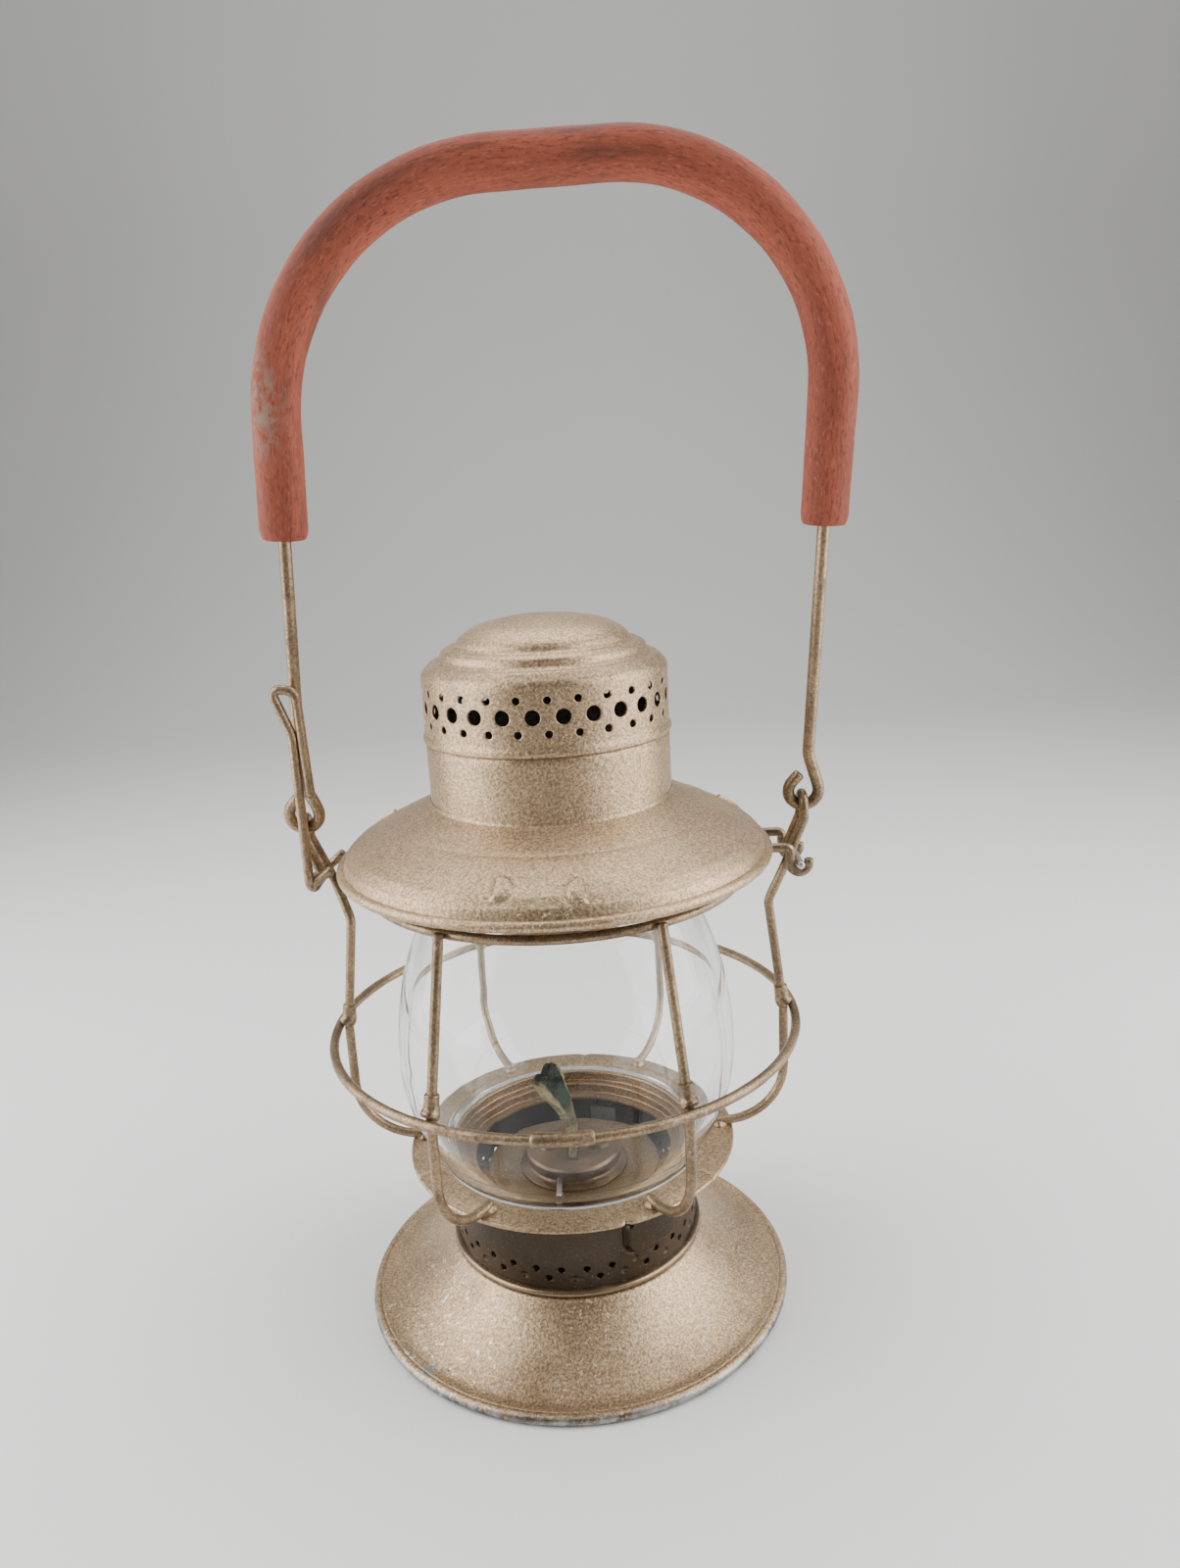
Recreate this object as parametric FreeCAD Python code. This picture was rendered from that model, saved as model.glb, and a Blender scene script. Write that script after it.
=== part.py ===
import FreeCAD, Part
import math
import os

# Oil hand lantern: a glass globe in a wire guard, between a bell base with the oil fount
# and a hinged lid with a vented chimney, carried by a swinging bail with a hose grip.
# Millimetres, +Z up. The origin is on the lantern's axis, at the level it stands on.
# +X points to the lid's hinge, -X to the latch and -Y to the front.

# Stock and clearances
sheet = 0.8                  # tinplate of the base, neck, lid, fount and burner
guard_wire = 2.8             # diameter of the guard, ear, hinge and latch wires
bail_wire = 3.5              # diameter of the bail
solder_gap = 0.05            # between pieces that are soldered or seated together
running_gap = 0.06           # radial, round a pin that turns
link_gap = 0.25              # between the bail's eye and the ear that it hangs in
lift_gap = 0.4               # between pieces that part when the lid lifts or the base turns

# Bell base
base_radius = 67.0
base_bead = 3.2              # diameter of the rolled rim
base_flat = 0.25             # depth that the rim is worn flat where it stands
base_lip = 3.5               # width of the level lip inside the rim
bell_height = 18.9
bell_sag = 2.5               # how far the flare is hollowed below a straight cone
bell_top_width = 1.3         # shelf of the bell outside the neck

# Neck and its twist lock
neck_radius = 38.3
neck_height = 26.95
neck_bead = 2.0
neck_vents = 32              # in each of the two rows
neck_vent = 1.9
neck_vent_rise = 5.8         # lower row above the neck's foot
neck_vent_step = 2.7         # between the two rows
lock_count = 3
lock_angle = -53.0           # middle of the first pressed-out pocket
lock_half_width = 13.0       # degrees
lock_depth = 1.8             # how far a pocket is pressed out
lock_rise = 11.5             # pocket's lower edge above the neck's foot
lock_height = 10.0
lug_half_width = 3.5         # degrees
lug_height = 3.5
lug_end_room = 1.5           # degrees between a lug and the end of its pocket at rest

# Fount and burner
fount_radius = 34.0
fount_floor = 5.0            # height of the fount's bottom
fount_upper_radius = 26.0
fount_top = 38.0
fount_mouth = 11.0           # radius of the hole that the burner screws over
fount_collar_height = 1.2
fount_collar_wall = 2.0
burner_flange_radius = 17.6
burner_height = 4.7          # from the fount's top to the burner body's top
burner_wall = 1.2
burner_cap_radius = 15.4
burner_cap_height = 2.5
burner_boss = 3.2            # radius of the two round bosses on the cap
burner_boss_height = 0.6
burner_boss_offset = 8.0
wick_width = 19.0
wick_thickness = 3.2
wick_reach = 28.5            # above the burner cap
wick_dip = 24.0              # below the fount's top
wick_room = 0.15             # between the wick and its tube
wick_tube_wall = 0.5
wick_tube_depth = 8.0        # below the fount's top
spindle_d = 1.8
spindle_reach = 23.5         # from the axis to the spindle's front end
spindle_tail = 9.0
spindle_drop = 4.3           # below the burner cap's top
sprocket_radius = 2.4
sprocket_width = 2.0
sprocket_offset = 5.0        # each side of the axis
sprocket_bite = 0.2          # gap from the sprocket to the wick's face

# Gallery and globe
gallery_radius = 51.0
gallery_bead = 1.5
gallery_step = 3.2           # height of each of the gallery's two steps
gallery_ledge = 2.8          # width of the step between them
air_ring_radius = 32.0       # inner edge, round the fount's top
globe_height = 87.7
globe_radius = 51.7
globe_foot_radius = 42.2
globe_foot_height = 2.0
globe_foot_wall = 3.8
globe_belly = 32.0           # height of the widest place above the globe's foot
globe_collar_radius = 36.4
globe_collar_height = 3.0
globe_shoulder = 5.7         # below the globe's top, where the belly meets the collar
globe_shoulder_radius = 38.3
globe_wall = 2.8

# Wire guard
guard_radius = 67.4          # uprights, at the ring
guard_ring_rise = 40.0       # above the gallery
guard_foot = 45.0            # radius at which an upright ends on the gallery
guard_foot_bend = 19.0
guard_bend = 12.0
guard_top_radius = 57.6
guard_top_drop = 5.0         # below the lid's rim
clip_length = 5.0
clip_wall = 0.7
clip_flare = 0.5             # how much wider a clip is at its lower end
ring_joint_angle = -89.2     # middle of the sleeve that closes the ring
ring_joint_width = 13.2      # degrees
ring_joint_wall = 0.5

# Lid
lid_rim_radius = 64.1
lid_bead = 3.0
lid_seat_depth = 5.6         # from the lid's rim down to its seat on the globe
brim_rise = 17.6             # from the rim to the foot of the chimney
brim_edge_rise = 3.9         # steep edge above the rim
brim_edge_inset = 1.8
brim_crown = 0.9             # how far the brim bulges above a straight cone
drum_radius = 35.3
drum_height = 18.4
drum_tuck = 3.0              # below the brim
spigot_height = 4.0          # of the drum inside the cap
cap_bead = 2.0
cap_wall_height = 18.2
dome_height = 16.5
dome_ring_width = 1.2
dome_ring_insets = (3.6, 8.6)
dome_ring_rises = (5.1, 9.2)
cap_vents = 27               # in each of three rows
cap_vent_large = 4.3
cap_vent_small = 2.2
cap_vent_rise = 10.9         # middle row above the cap's lower edge
cap_vent_step = 4.5
seat_outer_radius = 53.5
seat_lip = 5.0               # width of the seat over the globe's edge

# Ears, hinge and latch
ear_reach = 73.5             # from the axis to the bail's eyes
ear_rise = 10.5              # bail's axis above the lid's rim
ear_shank = 3.5              # upright part of the ear below the bail's axis
ear_waist = 63.2             # radius where the upright turns outwards
ear_waist_drop = 19.0        # below the lid's rim
ear_knee = 67.7
ear_knee_drop = 7.0          # below the lid's rim
ear_tail = 3.0               # length of the rear leg past the knee
hinge_pin_d = 2.4
hinge_drop = 5.0             # pin below the lid's rim
latch_drop = 5.8             # latch bar below the lid's rim
hook_offset = 8.0            # hinge hooks, each side of the ear
hook_tail = 1.5
latch_offset = 8.5           # latch legs, each side of the ear
latch_sleeve_wall = 0.75
latch_sleeve_length = 10.0
latch_bend = 3.0
latch_leg = 46.0             # from the latch bar to the finger loop
latch_loop_height = 14.0
latch_loop_out = 4.6
latch_loop_back = 3.2
latch_tail = 18.0

# Bail and grip, in the bail's own plane: across from the axis, and up from the eyes
bail_lean = 6.0              # degrees that it leans to the front
eye_radius = 4.4             # of the wire's centre line
bail_left_shoulder = (-61.3, 171.3)
bail_right_shoulder = (83.0, 173.8)
bail_left_bend = 62.0
bail_right_bend = 55.0
right_leg_shift = 1.3        # the right leg leaves its eye on the outer side
grip_d = 13.0
grip_room = 0.15             # between the hose and the wire
grip_left_end = 84.7         # height of the hose's ends above the eyes
grip_right_end = 81.3

V = FreeCAD.Vector
ORIGIN = V(0, 0, 0)
X_AXIS = V(1, 0, 0)
Y_AXIS = V(0, 1, 0)
Z_AXIS = V(0, 0, 1)

# Levels and places that follow from the sizes above
wire_r = guard_wire / 2
bail_r = bail_wire / 2
neck_foot = bell_height + lift_gap
neck_top = neck_foot + neck_height
collar_radius = neck_radius - sheet - lift_gap
gallery_floor = neck_top + solder_gap
gallery_top = gallery_floor + gallery_step + sheet
globe_top = gallery_top + globe_height
lid_level = globe_top + lift_gap + lid_seat_depth
brim_top = lid_level + brim_rise
cap_foot = brim_top + drum_height
cap_radius = drum_radius
cap_shoulder = cap_foot + cap_wall_height
burner_top = fount_top + burner_height
cap_top = burner_top + solder_gap + burner_cap_height
guard_level = gallery_top + guard_ring_rise
ring_radius = guard_radius + guard_wire + 2 * solder_gap
bail_axis = lid_level + ear_rise
ear_loop = bail_r + wire_r + link_gap
spindle_level = cap_top - spindle_drop
spindle_x = -(wick_thickness / 2 + sprocket_bite + sprocket_radius)
lug_angle = lock_angle + lock_half_width - lug_half_width - lug_end_room


def revolve(outline):
    """Turn a closed outline of (radius, height) points about Z; an item of two points is an arc's
    middle and end."""
    points = [V(item[0], 0, item[1]) if not isinstance(item[0], tuple) else None for item in outline]
    edges = []
    here = points[0]
    for item, point in zip(outline[1:] + outline[:1], points[1:] + points[:1]):
        if point is None:
            middle, end = (V(p[0], 0, p[1]) for p in item)
            edges.append(Part.Arc(here, middle, end).toShape())
            here = end
        elif here.distanceToPoint(point) > 1e-6:
            edges.append(Part.makeLine(here, point))
            here = point
    return Part.Face(Part.Wire(edges)).revolve(ORIGIN, Z_AXIS, 360)


def ring_of_wire(radius, wire, level):
    return Part.makeTorus(radius, wire / 2, V(0, 0, level))


def tube(radius, wall, low, high):
    """A plain upright tube, measured to its outside."""
    outside = Part.makeCylinder(radius, high - low, V(0, 0, low))
    return outside.cut(Part.makeCylinder(radius - wall, high - low, V(0, 0, low)))


def sector(inner, outer, low, high, middle, half_width):
    """A block bounded by two radii, two levels and two angles."""
    start = math.radians(middle - half_width)
    corner = V(inner * math.cos(start), inner * math.sin(start), low)
    far = V(outer * math.cos(start), outer * math.sin(start), low)
    up = V(0, 0, high - low)
    face = Part.Face(Part.makePolygon([corner, far, far + up, corner + up, corner]))
    return face.revolve(ORIGIN, Z_AXIS, 2 * half_width)


def bent_path(points, bends):
    """Straight runs joined by tangent arcs, with one bend radius for each inner point."""
    edges = []
    here = points[0]
    for before, corner, after, radius in zip(points, points[1:], points[2:], bends):
        back = (before - corner).normalize()
        ahead = (after - corner).normalize()
        half = back.getAngle(ahead) / 2
        start = corner + back * (radius / math.tan(half))
        end = corner + ahead * (radius / math.tan(half))
        inward = (back + ahead).normalize()
        middle = corner + inward * (radius / math.sin(half) - radius)
        if here.distanceToPoint(start) > 1e-6:
            edges.append(Part.makeLine(here, start))
        edges.append(Part.Arc(start, middle, end).toShape())
        here = end
    edges.append(Part.makeLine(here, points[-1]))
    return Part.Wire(edges)


def sweep(path, radius):
    """A round bar along a path."""
    first = path.OrderedEdges[0]
    start = path.OrderedVertexes[0].Point
    heading = first.tangentAt(first.FirstParameter)
    section = Part.Wire(Part.Circle(start, heading, radius).toShape())
    return path.makePipeShell([section], True, False)


def bent_wire(points, bends, wire):
    return sweep(bent_path(points, bends), wire / 2)


def turned(shape, angle):
    """A copy turned about the lantern's axis."""
    copy = shape.copy()
    copy.rotate(ORIGIN, Z_AXIS, angle)
    return copy


def around(shape, count, first=0.0):
    return [turned(shape, first + i * 360.0 / count) for i in range(count)]


def drill(shape, holes):
    return shape.cut(Part.makeCompound(holes))


def radial_holes(diameter, reach, level, count, first=0.0):
    hole = Part.makeCylinder(diameter / 2, reach, V(0, 0, level), X_AXIS)
    return around(hole, count, first)


def join(shapes):
    return shapes[0].multiFuse(shapes[1:]).removeSplitter()


def bulged_middle(start, end, bulge):
    """Middle of an arc from start to end that stands out by bulge to the left of the way."""
    along_r, along_z = end[0] - start[0], end[1] - start[1]
    span = math.hypot(along_r, along_z)
    middle_r, middle_z = (start[0] + end[0]) / 2, (start[1] + end[1]) / 2
    return (middle_r - along_z / span * bulge, middle_z + along_r / span * bulge)


def moved(point, radius, height):
    return (point[0] + radius, point[1] + height)


def bell_base():
    """Rolled rim, level lip and hollowed flare, up to the shelf round the twist collar."""
    bead_r = base_bead / 2
    bead = ring_of_wire(base_radius - bead_r, base_bead, bead_r - base_flat)
    bead = bead.cut(Part.makeBox(4 * base_radius, 4 * base_radius, base_bead,
                                 V(-2 * base_radius, -2 * base_radius, -base_bead)))
    lip_top = base_bead - 2 * base_flat
    outer = (base_radius - bead_r, lip_top)
    foot = (base_radius - base_bead - base_lip, lip_top)
    shoulder = (neck_radius + bell_top_width, bell_height)
    flare = bulged_middle(foot, shoulder, bell_sag)
    inner = collar_radius + solder_gap
    under = [moved(point, -sheet / 2, -sheet) for point in (shoulder, flare, foot)]
    skin = revolve([outer, foot, (flare, shoulder), (inner, bell_height), (inner, bell_height - sheet),
                    under[0], (under[1], under[2]), moved(outer, 0, -sheet)])
    return join([bead, skin])


def bayonet_collar():
    """Collar on the bell, with three tongues whose lugs turn in the neck's pockets."""
    foot = bell_height - 6 * sheet
    ring = tube(collar_radius, sheet, foot, neck_foot + neck_bead)
    lug_low = neck_foot + lock_rise + (lock_height - lug_height) / 2
    tongue = sector(collar_radius - sheet, collar_radius, neck_foot, lug_low + lug_height,
                    lug_angle, 2 * lug_half_width)
    lug = sector(collar_radius - sheet, neck_radius - sheet + lock_depth - lift_gap, lug_low,
                 lug_low + lug_height, lug_angle, lug_half_width)
    return join([ring] + around(tongue, lock_count) + around(lug, lock_count))


def fount_tank():
    """Oil fount: a low can in the bell with a narrower upper part under the burner."""
    flange = collar_radius - sheet - solder_gap
    shoulder = bell_height - 2 * sheet
    outside = revolve([(0, fount_floor), (fount_radius, fount_floor), (fount_radius, shoulder - sheet),
                       (flange, shoulder - sheet), (flange, shoulder), (fount_upper_radius, shoulder),
                       (fount_upper_radius, fount_top), (0, fount_top)])
    low = fount_floor + sheet
    inside = revolve([(0, low), (fount_radius - sheet, low), (fount_radius - sheet, shoulder - sheet),
                      (fount_upper_radius - sheet, shoulder - sheet),
                      (fount_upper_radius - sheet, fount_top - sheet), (0, fount_top - sheet)])
    return outside.cut(inside).cut(Part.makeCylinder(fount_mouth, 2 * sheet, V(0, 0, fount_top - 2 * sheet)))


def fount_collar():
    radius = fount_mouth + fount_collar_wall
    return tube(radius, fount_collar_wall, fount_top, fount_top + fount_collar_height)


def burner_body():
    """Skirt over the fount's collar, with a flange below and a bored top."""
    inner = fount_mouth + fount_collar_wall + solder_gap
    outer = inner + burner_wall
    low = fount_top + solder_gap
    body = revolve([(inner, low), (burner_flange_radius, low), (burner_flange_radius, low + sheet),
                    (outer, low + 2 * sheet), (outer, burner_top), (fount_mouth, burner_top),
                    (fount_mouth, burner_top - sheet), (inner, burner_top - sheet)])
    bore = Part.makeCylinder(spindle_d / 2 + running_gap, 2 * burner_flange_radius,
                             V(spindle_x, -2 * burner_flange_radius, spindle_level), Y_AXIS)
    return body.cut(bore)


def wick_tube_box(room, low, high):
    across = wick_thickness + 2 * room
    along = wick_width + 2 * room
    return Part.makeBox(across, along, high - low, V(-across / 2, -along / 2, low))


def burner_cap():
    """Shallow drum cap with the wick's slot and two round bosses."""
    foot = burner_top + solder_gap
    cap = revolve([(burner_cap_radius, foot), (burner_cap_radius, cap_top), (0, cap_top),
                   (0, cap_top - sheet), (burner_cap_radius - sheet, cap_top - sheet),
                   (burner_cap_radius - sheet, foot)])
    bosses = [Part.makeCylinder(burner_boss, burner_boss_height + sheet / 2,
                                V(side * burner_boss_offset, 0, cap_top - sheet / 2)) for side in (-1, 1)]
    slot = wick_tube_box(wick_room + wick_tube_wall + solder_gap, burner_top, cap_top + 2 * sheet)
    return join([cap] + bosses).cut(slot)


def wick_tube():
    """Flat tube for the wick, with a window for each sprocket in its left wall."""
    low = fount_top - wick_tube_depth
    high = cap_top + burner_boss_height / 2
    tube_box = wick_tube_box(wick_room + wick_tube_wall, low, high)
    tube_box = tube_box.cut(wick_tube_box(wick_room, low, high))
    window_width = 2 * sprocket_width
    window_height = 2 * (sprocket_radius + lift_gap)
    windows = [Part.makeBox(sprocket_radius, window_width, window_height,
                            V(-wick_thickness / 2 - sprocket_radius, y - window_width / 2,
                              spindle_level - window_height / 2))
               for y in (-sprocket_offset, sprocket_offset)]
    return drill(tube_box, windows)


def wick():
    return wick_tube_box(0, fount_top - wick_dip, cap_top + wick_reach)


def wick_spindle():
    return Part.makeCylinder(spindle_d / 2, spindle_reach + spindle_tail,
                             V(spindle_x, -spindle_reach, spindle_level), Y_AXIS)


def wick_sprockets():
    """Two spiked wheels on the spindle, beside the wick."""
    wheels = []
    for y in (-sprocket_offset, sprocket_offset):
        start = V(spindle_x, y - sprocket_width / 2, spindle_level)
        wheel = Part.makeCylinder(sprocket_radius, sprocket_width, start, Y_AXIS)
        wheels.append(wheel.cut(Part.makeCylinder(spindle_d / 2 + solder_gap, sprocket_width, start, Y_AXIS)))
    return Part.makeCompound(wheels)


def neck_drum():
    """Vented neck with a rolled foot and three pressed-out pockets for the lugs."""
    bead = ring_of_wire(neck_radius + neck_bead / 4, neck_bead, neck_foot + neck_bead / 2)
    wall = Part.makeCylinder(neck_radius, neck_top - neck_foot - neck_bead / 2,
                             V(0, 0, neck_foot + neck_bead / 2))
    low = neck_foot + lock_rise
    high = low + lock_height
    inner = neck_radius - sheet
    wrap = math.degrees(sheet / neck_radius)
    bump = sector(inner, neck_radius + lock_depth, low - sheet, high + sheet,
                  lock_angle, lock_half_width + wrap)
    pocket = sector(inner - sheet, inner + lock_depth, low, high, lock_angle, lock_half_width)
    bore = Part.makeCylinder(inner, neck_top, V(0, 0, 0))
    pitch = 360.0 / neck_vents
    first_row = neck_foot + neck_vent_rise
    vents = radial_holes(neck_vent, 2 * neck_radius, first_row, neck_vents)
    vents += radial_holes(neck_vent, 2 * neck_radius, first_row + neck_vent_step, neck_vents, pitch / 2)
    solid = join([bead, wall] + around(bump, lock_count))
    return drill(solid, [bore] + around(pocket, lock_count) + vents)


def gallery_ring():
    """Dished ring on the neck: a level rim for the globe and two steps down to the air ring."""
    seat_bottom = gallery_top - sheet
    wall_outer = neck_radius + sheet / 4
    ledge_outer = wall_outer - gallery_ledge
    floor = gallery_floor + sheet
    ledge = gallery_floor - gallery_step + sheet
    edge = gallery_radius - gallery_bead / 2
    skin = revolve([(edge, gallery_top), (wall_outer - sheet, gallery_top), (wall_outer - sheet, floor),
                    (ledge_outer - sheet, floor), (ledge_outer - sheet, ledge), (air_ring_radius, ledge),
                    (air_ring_radius, ledge - sheet), (ledge_outer, ledge - sheet),
                    (ledge_outer, gallery_floor), (wall_outer, gallery_floor),
                    (wall_outer, seat_bottom), (edge, seat_bottom)])
    bead = ring_of_wire(edge, gallery_bead, gallery_top - gallery_bead / 2)
    return join([skin, bead])


def belly_arc(end_radius, end_height, inset):
    """Middle of the arc that starts upright at the globe's widest place."""
    deep = globe_radius - inset - end_radius
    rise = end_height - globe_belly
    bend = (deep ** 2 + rise ** 2) / (2 * deep)
    half_rise = rise / 2
    return (globe_radius - inset - bend + math.sqrt(bend ** 2 - half_rise ** 2), globe_belly + half_rise)


def globe():
    """Blown glass globe: a thick foot, a round belly and a plain collar."""
    shoulder = globe_height - globe_shoulder
    collar = globe_height - globe_collar_height
    neck_mid = ((globe_collar_radius + globe_shoulder_radius) / 2 - globe_wall / 10,
                (shoulder + collar) / 2)
    outer = [(globe_foot_radius, 0), (globe_foot_radius, globe_foot_height),
             (belly_arc(globe_foot_radius, globe_foot_height, 0), (globe_radius, globe_belly)),
             (belly_arc(globe_shoulder_radius, shoulder, 0), (globe_shoulder_radius, shoulder)),
             (neck_mid, (globe_collar_radius, collar)), (globe_collar_radius, globe_height)]
    foot_in = globe_foot_radius - globe_foot_wall
    shoulder_in = globe_shoulder_radius - globe_wall
    inner = [(globe_collar_radius - globe_wall, globe_height), (globe_collar_radius - globe_wall, collar),
             (moved(neck_mid, -globe_wall, 0), (shoulder_in, shoulder)),
             (belly_arc(shoulder_in, shoulder, globe_wall), (globe_radius - globe_wall, globe_belly)),
             (belly_arc(foot_in, globe_foot_height, globe_wall), (foot_in, globe_foot_height)),
             (foot_in, 0)]
    shape = revolve(outer + inner)
    shape.translate(V(0, 0, gallery_top))
    return shape


def upright_foot():
    """Route of every upright, from its soldered end on the gallery to the guard ring."""
    foot = gallery_top + wire_r + solder_gap
    return [V(guard_foot, 0, foot), V(guard_radius, 0, foot), V(guard_radius, 0, guard_level)]


def guard_upright(angle):
    """A plain upright, from the gallery past the ring to the ring under the lid."""
    route = upright_foot() + [V(guard_top_radius, 0, lid_level - guard_top_drop)]
    return turned(bent_wire(route, [guard_foot_bend, guard_bend], guard_wire), angle)


def ear_leg_radius(level):
    """Distance from the axis of an ear's leg, between its knee and its shank."""
    knee = lid_level - ear_knee_drop
    shank = bail_axis - ear_shank
    return ear_knee + (ear_reach - ear_knee) * (level - knee) / (shank - knee)


def ear_clear(size):
    """Level distance from an ear leg's centre to that of a bar soldered along its outer side."""
    run = ear_reach - ear_knee
    rise = bail_axis - ear_shank - (lid_level - ear_knee_drop)
    return (wire_r + solder_gap + size / 2) * math.hypot(run, rise) / rise


def ear_upright(angle):
    """An upright that turns out past the lid's rim and closes in a loop for the bail's eye."""
    knee = lid_level - ear_knee_drop
    shank = bail_axis - ear_shank
    crown = bail_axis + ear_loop
    tail = knee + ear_tail
    route = upright_foot() + [
        V(ear_waist, 0, lid_level - ear_waist_drop), V(ear_knee, -ear_loop, knee),
        V(ear_reach, -ear_loop, shank), V(ear_reach, -ear_loop, crown), V(ear_reach, ear_loop, crown),
        V(ear_reach, ear_loop, shank), V(ear_leg_radius(tail), ear_loop, tail)]
    bends = [guard_foot_bend, guard_bend, 2 * guard_wire, 2 * guard_wire,
             guard_wire, ear_loop, ear_loop, guard_wire]
    return turned(bent_wire(route, bends, guard_wire), angle)


def guard_clips():
    """Flared sleeves on the six uprights, just above the ring."""
    low = V(guard_radius, 0, guard_level)
    plain_end = V(guard_top_radius, 0, lid_level - guard_top_drop)
    ear_end = V(ear_waist, 0, lid_level - ear_waist_drop)
    clips = []
    for angle, end in zip(range(0, 360, 60), (ear_end, plain_end, plain_end) * 2):
        along = (end - low).normalize()
        start = low + along * guard_wire
        bore = wire_r + solder_gap
        clip = Part.makeCone(bore + clip_wall + clip_flare, bore + clip_wall, clip_length, start, along)
        clips.append(turned(clip.cut(Part.makeCylinder(bore, clip_length, start, along)), angle))
    return Part.makeCompound(clips)


def ring_joint():
    """Sheet sleeve over the front of the guard ring, where the wire's ends meet."""
    bore = wire_r + solder_gap
    outer, inner = (Part.Face(Part.Wire(Part.Circle(V(ring_radius, 0, guard_level), Y_AXIS, r).toShape()))
                    for r in (bore + ring_joint_wall, bore))
    sleeve = outer.cut(inner).Faces[0].revolve(ORIGIN, Z_AXIS, ring_joint_width)
    return turned(sleeve, ring_joint_angle - ring_joint_width / 2)


def guard_top_ring():
    """Ring that ties the four plain uprights together under the lid."""
    level = lid_level - guard_top_drop - wire_r
    rise = lid_level - guard_top_drop - guard_level
    run = guard_radius - guard_top_radius
    upright = guard_top_radius + run * wire_r / rise
    radius = upright - (guard_wire + solder_gap) * math.hypot(run, rise) / rise
    return ring_of_wire(radius, guard_wire, level)


def hinge_pin_x():
    return ear_leg_radius(lid_level - hinge_drop) + ear_clear(hinge_pin_d)


def hinge_pin():
    length = 2 * (hook_offset + guard_wire)
    return Part.makeCylinder(hinge_pin_d / 2, length,
                             V(hinge_pin_x(), -length / 2, lid_level - hinge_drop), Y_AXIS)


def latch_bar_x():
    return -ear_leg_radius(lid_level - latch_drop) - ear_clear(guard_wire + 2 * latch_sleeve_wall)


def latch_sleeve():
    """Tube soldered across the left ear, in which the latch's bar turns."""
    bore = wire_r + running_gap
    start = V(latch_bar_x(), -latch_sleeve_length / 2, lid_level - latch_drop)
    sleeve = Part.makeCylinder(wire_r + latch_sleeve_wall, latch_sleeve_length, start, Y_AXIS)
    return sleeve.cut(Part.makeCylinder(bore, latch_sleeve_length, start, Y_AXIS))


def rim_x(offset):
    """How far the lid's rim reaches out beside the ears."""
    return math.sqrt(lid_rim_radius ** 2 - offset ** 2)


def brim_section():
    """Edge, crown and foot of the brim's upper face."""
    edge = (lid_rim_radius - brim_edge_inset, lid_level + brim_edge_rise)
    foot = (drum_radius + solder_gap, brim_top)
    return edge, bulged_middle(edge, foot, -brim_crown), foot


def hood_brim():
    """Sloping brim with a steep edge and a rolled rim."""
    edge, crown, foot = brim_section()
    bead_middle = lid_rim_radius - lid_bead / 2
    under = [moved(point, -sheet / 2, -sheet) for point in (edge, crown)]
    skin = revolve([(bead_middle, lid_level), edge, (crown, foot), moved(foot, 0, -sheet),
                    (under[1], under[0]), (bead_middle - sheet, lid_level)])
    return join([skin, ring_of_wire(bead_middle, lid_bead, lid_level)])


def chimney_drum():
    """Plain drum through the brim, drawn in at its top to take the cap."""
    spigot = drum_radius - sheet - solder_gap
    return revolve([(drum_radius, brim_top - drum_tuck), (drum_radius, cap_foot - solder_gap),
                    (spigot, cap_foot - solder_gap), (spigot, cap_foot + spigot_height),
                    (spigot - sheet, cap_foot + spigot_height), (spigot - sheet, cap_foot - sheet),
                    (drum_radius - sheet, cap_foot - sheet - solder_gap),
                    (drum_radius - sheet, brim_top - drum_tuck)])


def crown_middle(edge, top):
    """Middle of the arc from an edge to the top of a spherical crown."""
    rise = top[1] - edge[1]
    ball = (edge[0] ** 2 + rise ** 2) / (2 * rise)
    half = math.asin(edge[0] / ball) / 2
    return (ball * math.sin(half), top[1] - ball + ball * math.cos(half))


def vented_cap():
    """Cap over the drum: a beaded foot, three rows of vents and a stepped dome."""
    outer = [(cap_radius, cap_foot), (cap_radius, cap_shoulder)]
    for inset, rise in zip(dome_ring_insets, dome_ring_rises):
        step = (cap_radius - inset, cap_shoulder + rise)
        outer += [step, moved(step, -dome_ring_width, 0)]
    crown_edge = outer[-1]
    top = (0, cap_shoulder + dome_height)
    inner = [moved(point, -sheet, -sheet) for point in reversed(outer[1:])] + [(cap_radius - sheet, cap_foot)]
    low_top = moved(top, 0, -sheet)
    skin = revolve(outer + [(crown_middle(crown_edge, top), top), low_top,
                            (crown_middle(inner[0], low_top), inner[0])] + inner[1:])
    bead = ring_of_wire(cap_radius - sheet / 2, cap_bead, cap_foot + cap_bead / 2)
    bead = bead.cut(Part.makeCylinder(cap_radius - sheet, 2 * cap_bead, V(0, 0, cap_foot - cap_bead / 2)))
    level = cap_foot + cap_vent_rise
    pitch = 360.0 / cap_vents
    vents = radial_holes(cap_vent_large, 2 * cap_radius, level, cap_vents)
    for row in (level - cap_vent_step, level + cap_vent_step):
        vents += radial_holes(cap_vent_small, 2 * cap_radius, row, cap_vents, pitch / 2)
    return drill(join([skin, bead]), vents)


def globe_seat_ring():
    """Cone inside the lid, from under the brim down to the globe's upper edge."""
    edge, crown, foot = brim_section()
    slope = (foot[1] - edge[1]) / (edge[0] - foot[0])
    under_brim = edge[1] + slope * (edge[0] - seat_outer_radius) - sheet - solder_gap
    low = globe_top + lift_gap
    outer = globe_collar_radius + sheet
    inner = outer - seat_lip
    return revolve([(seat_outer_radius, under_brim), (outer, low + sheet), (inner, low + sheet), (inner, low),
                    (outer + sheet / 2, low), (seat_outer_radius + sheet / 2, under_brim - sheet)])


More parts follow.
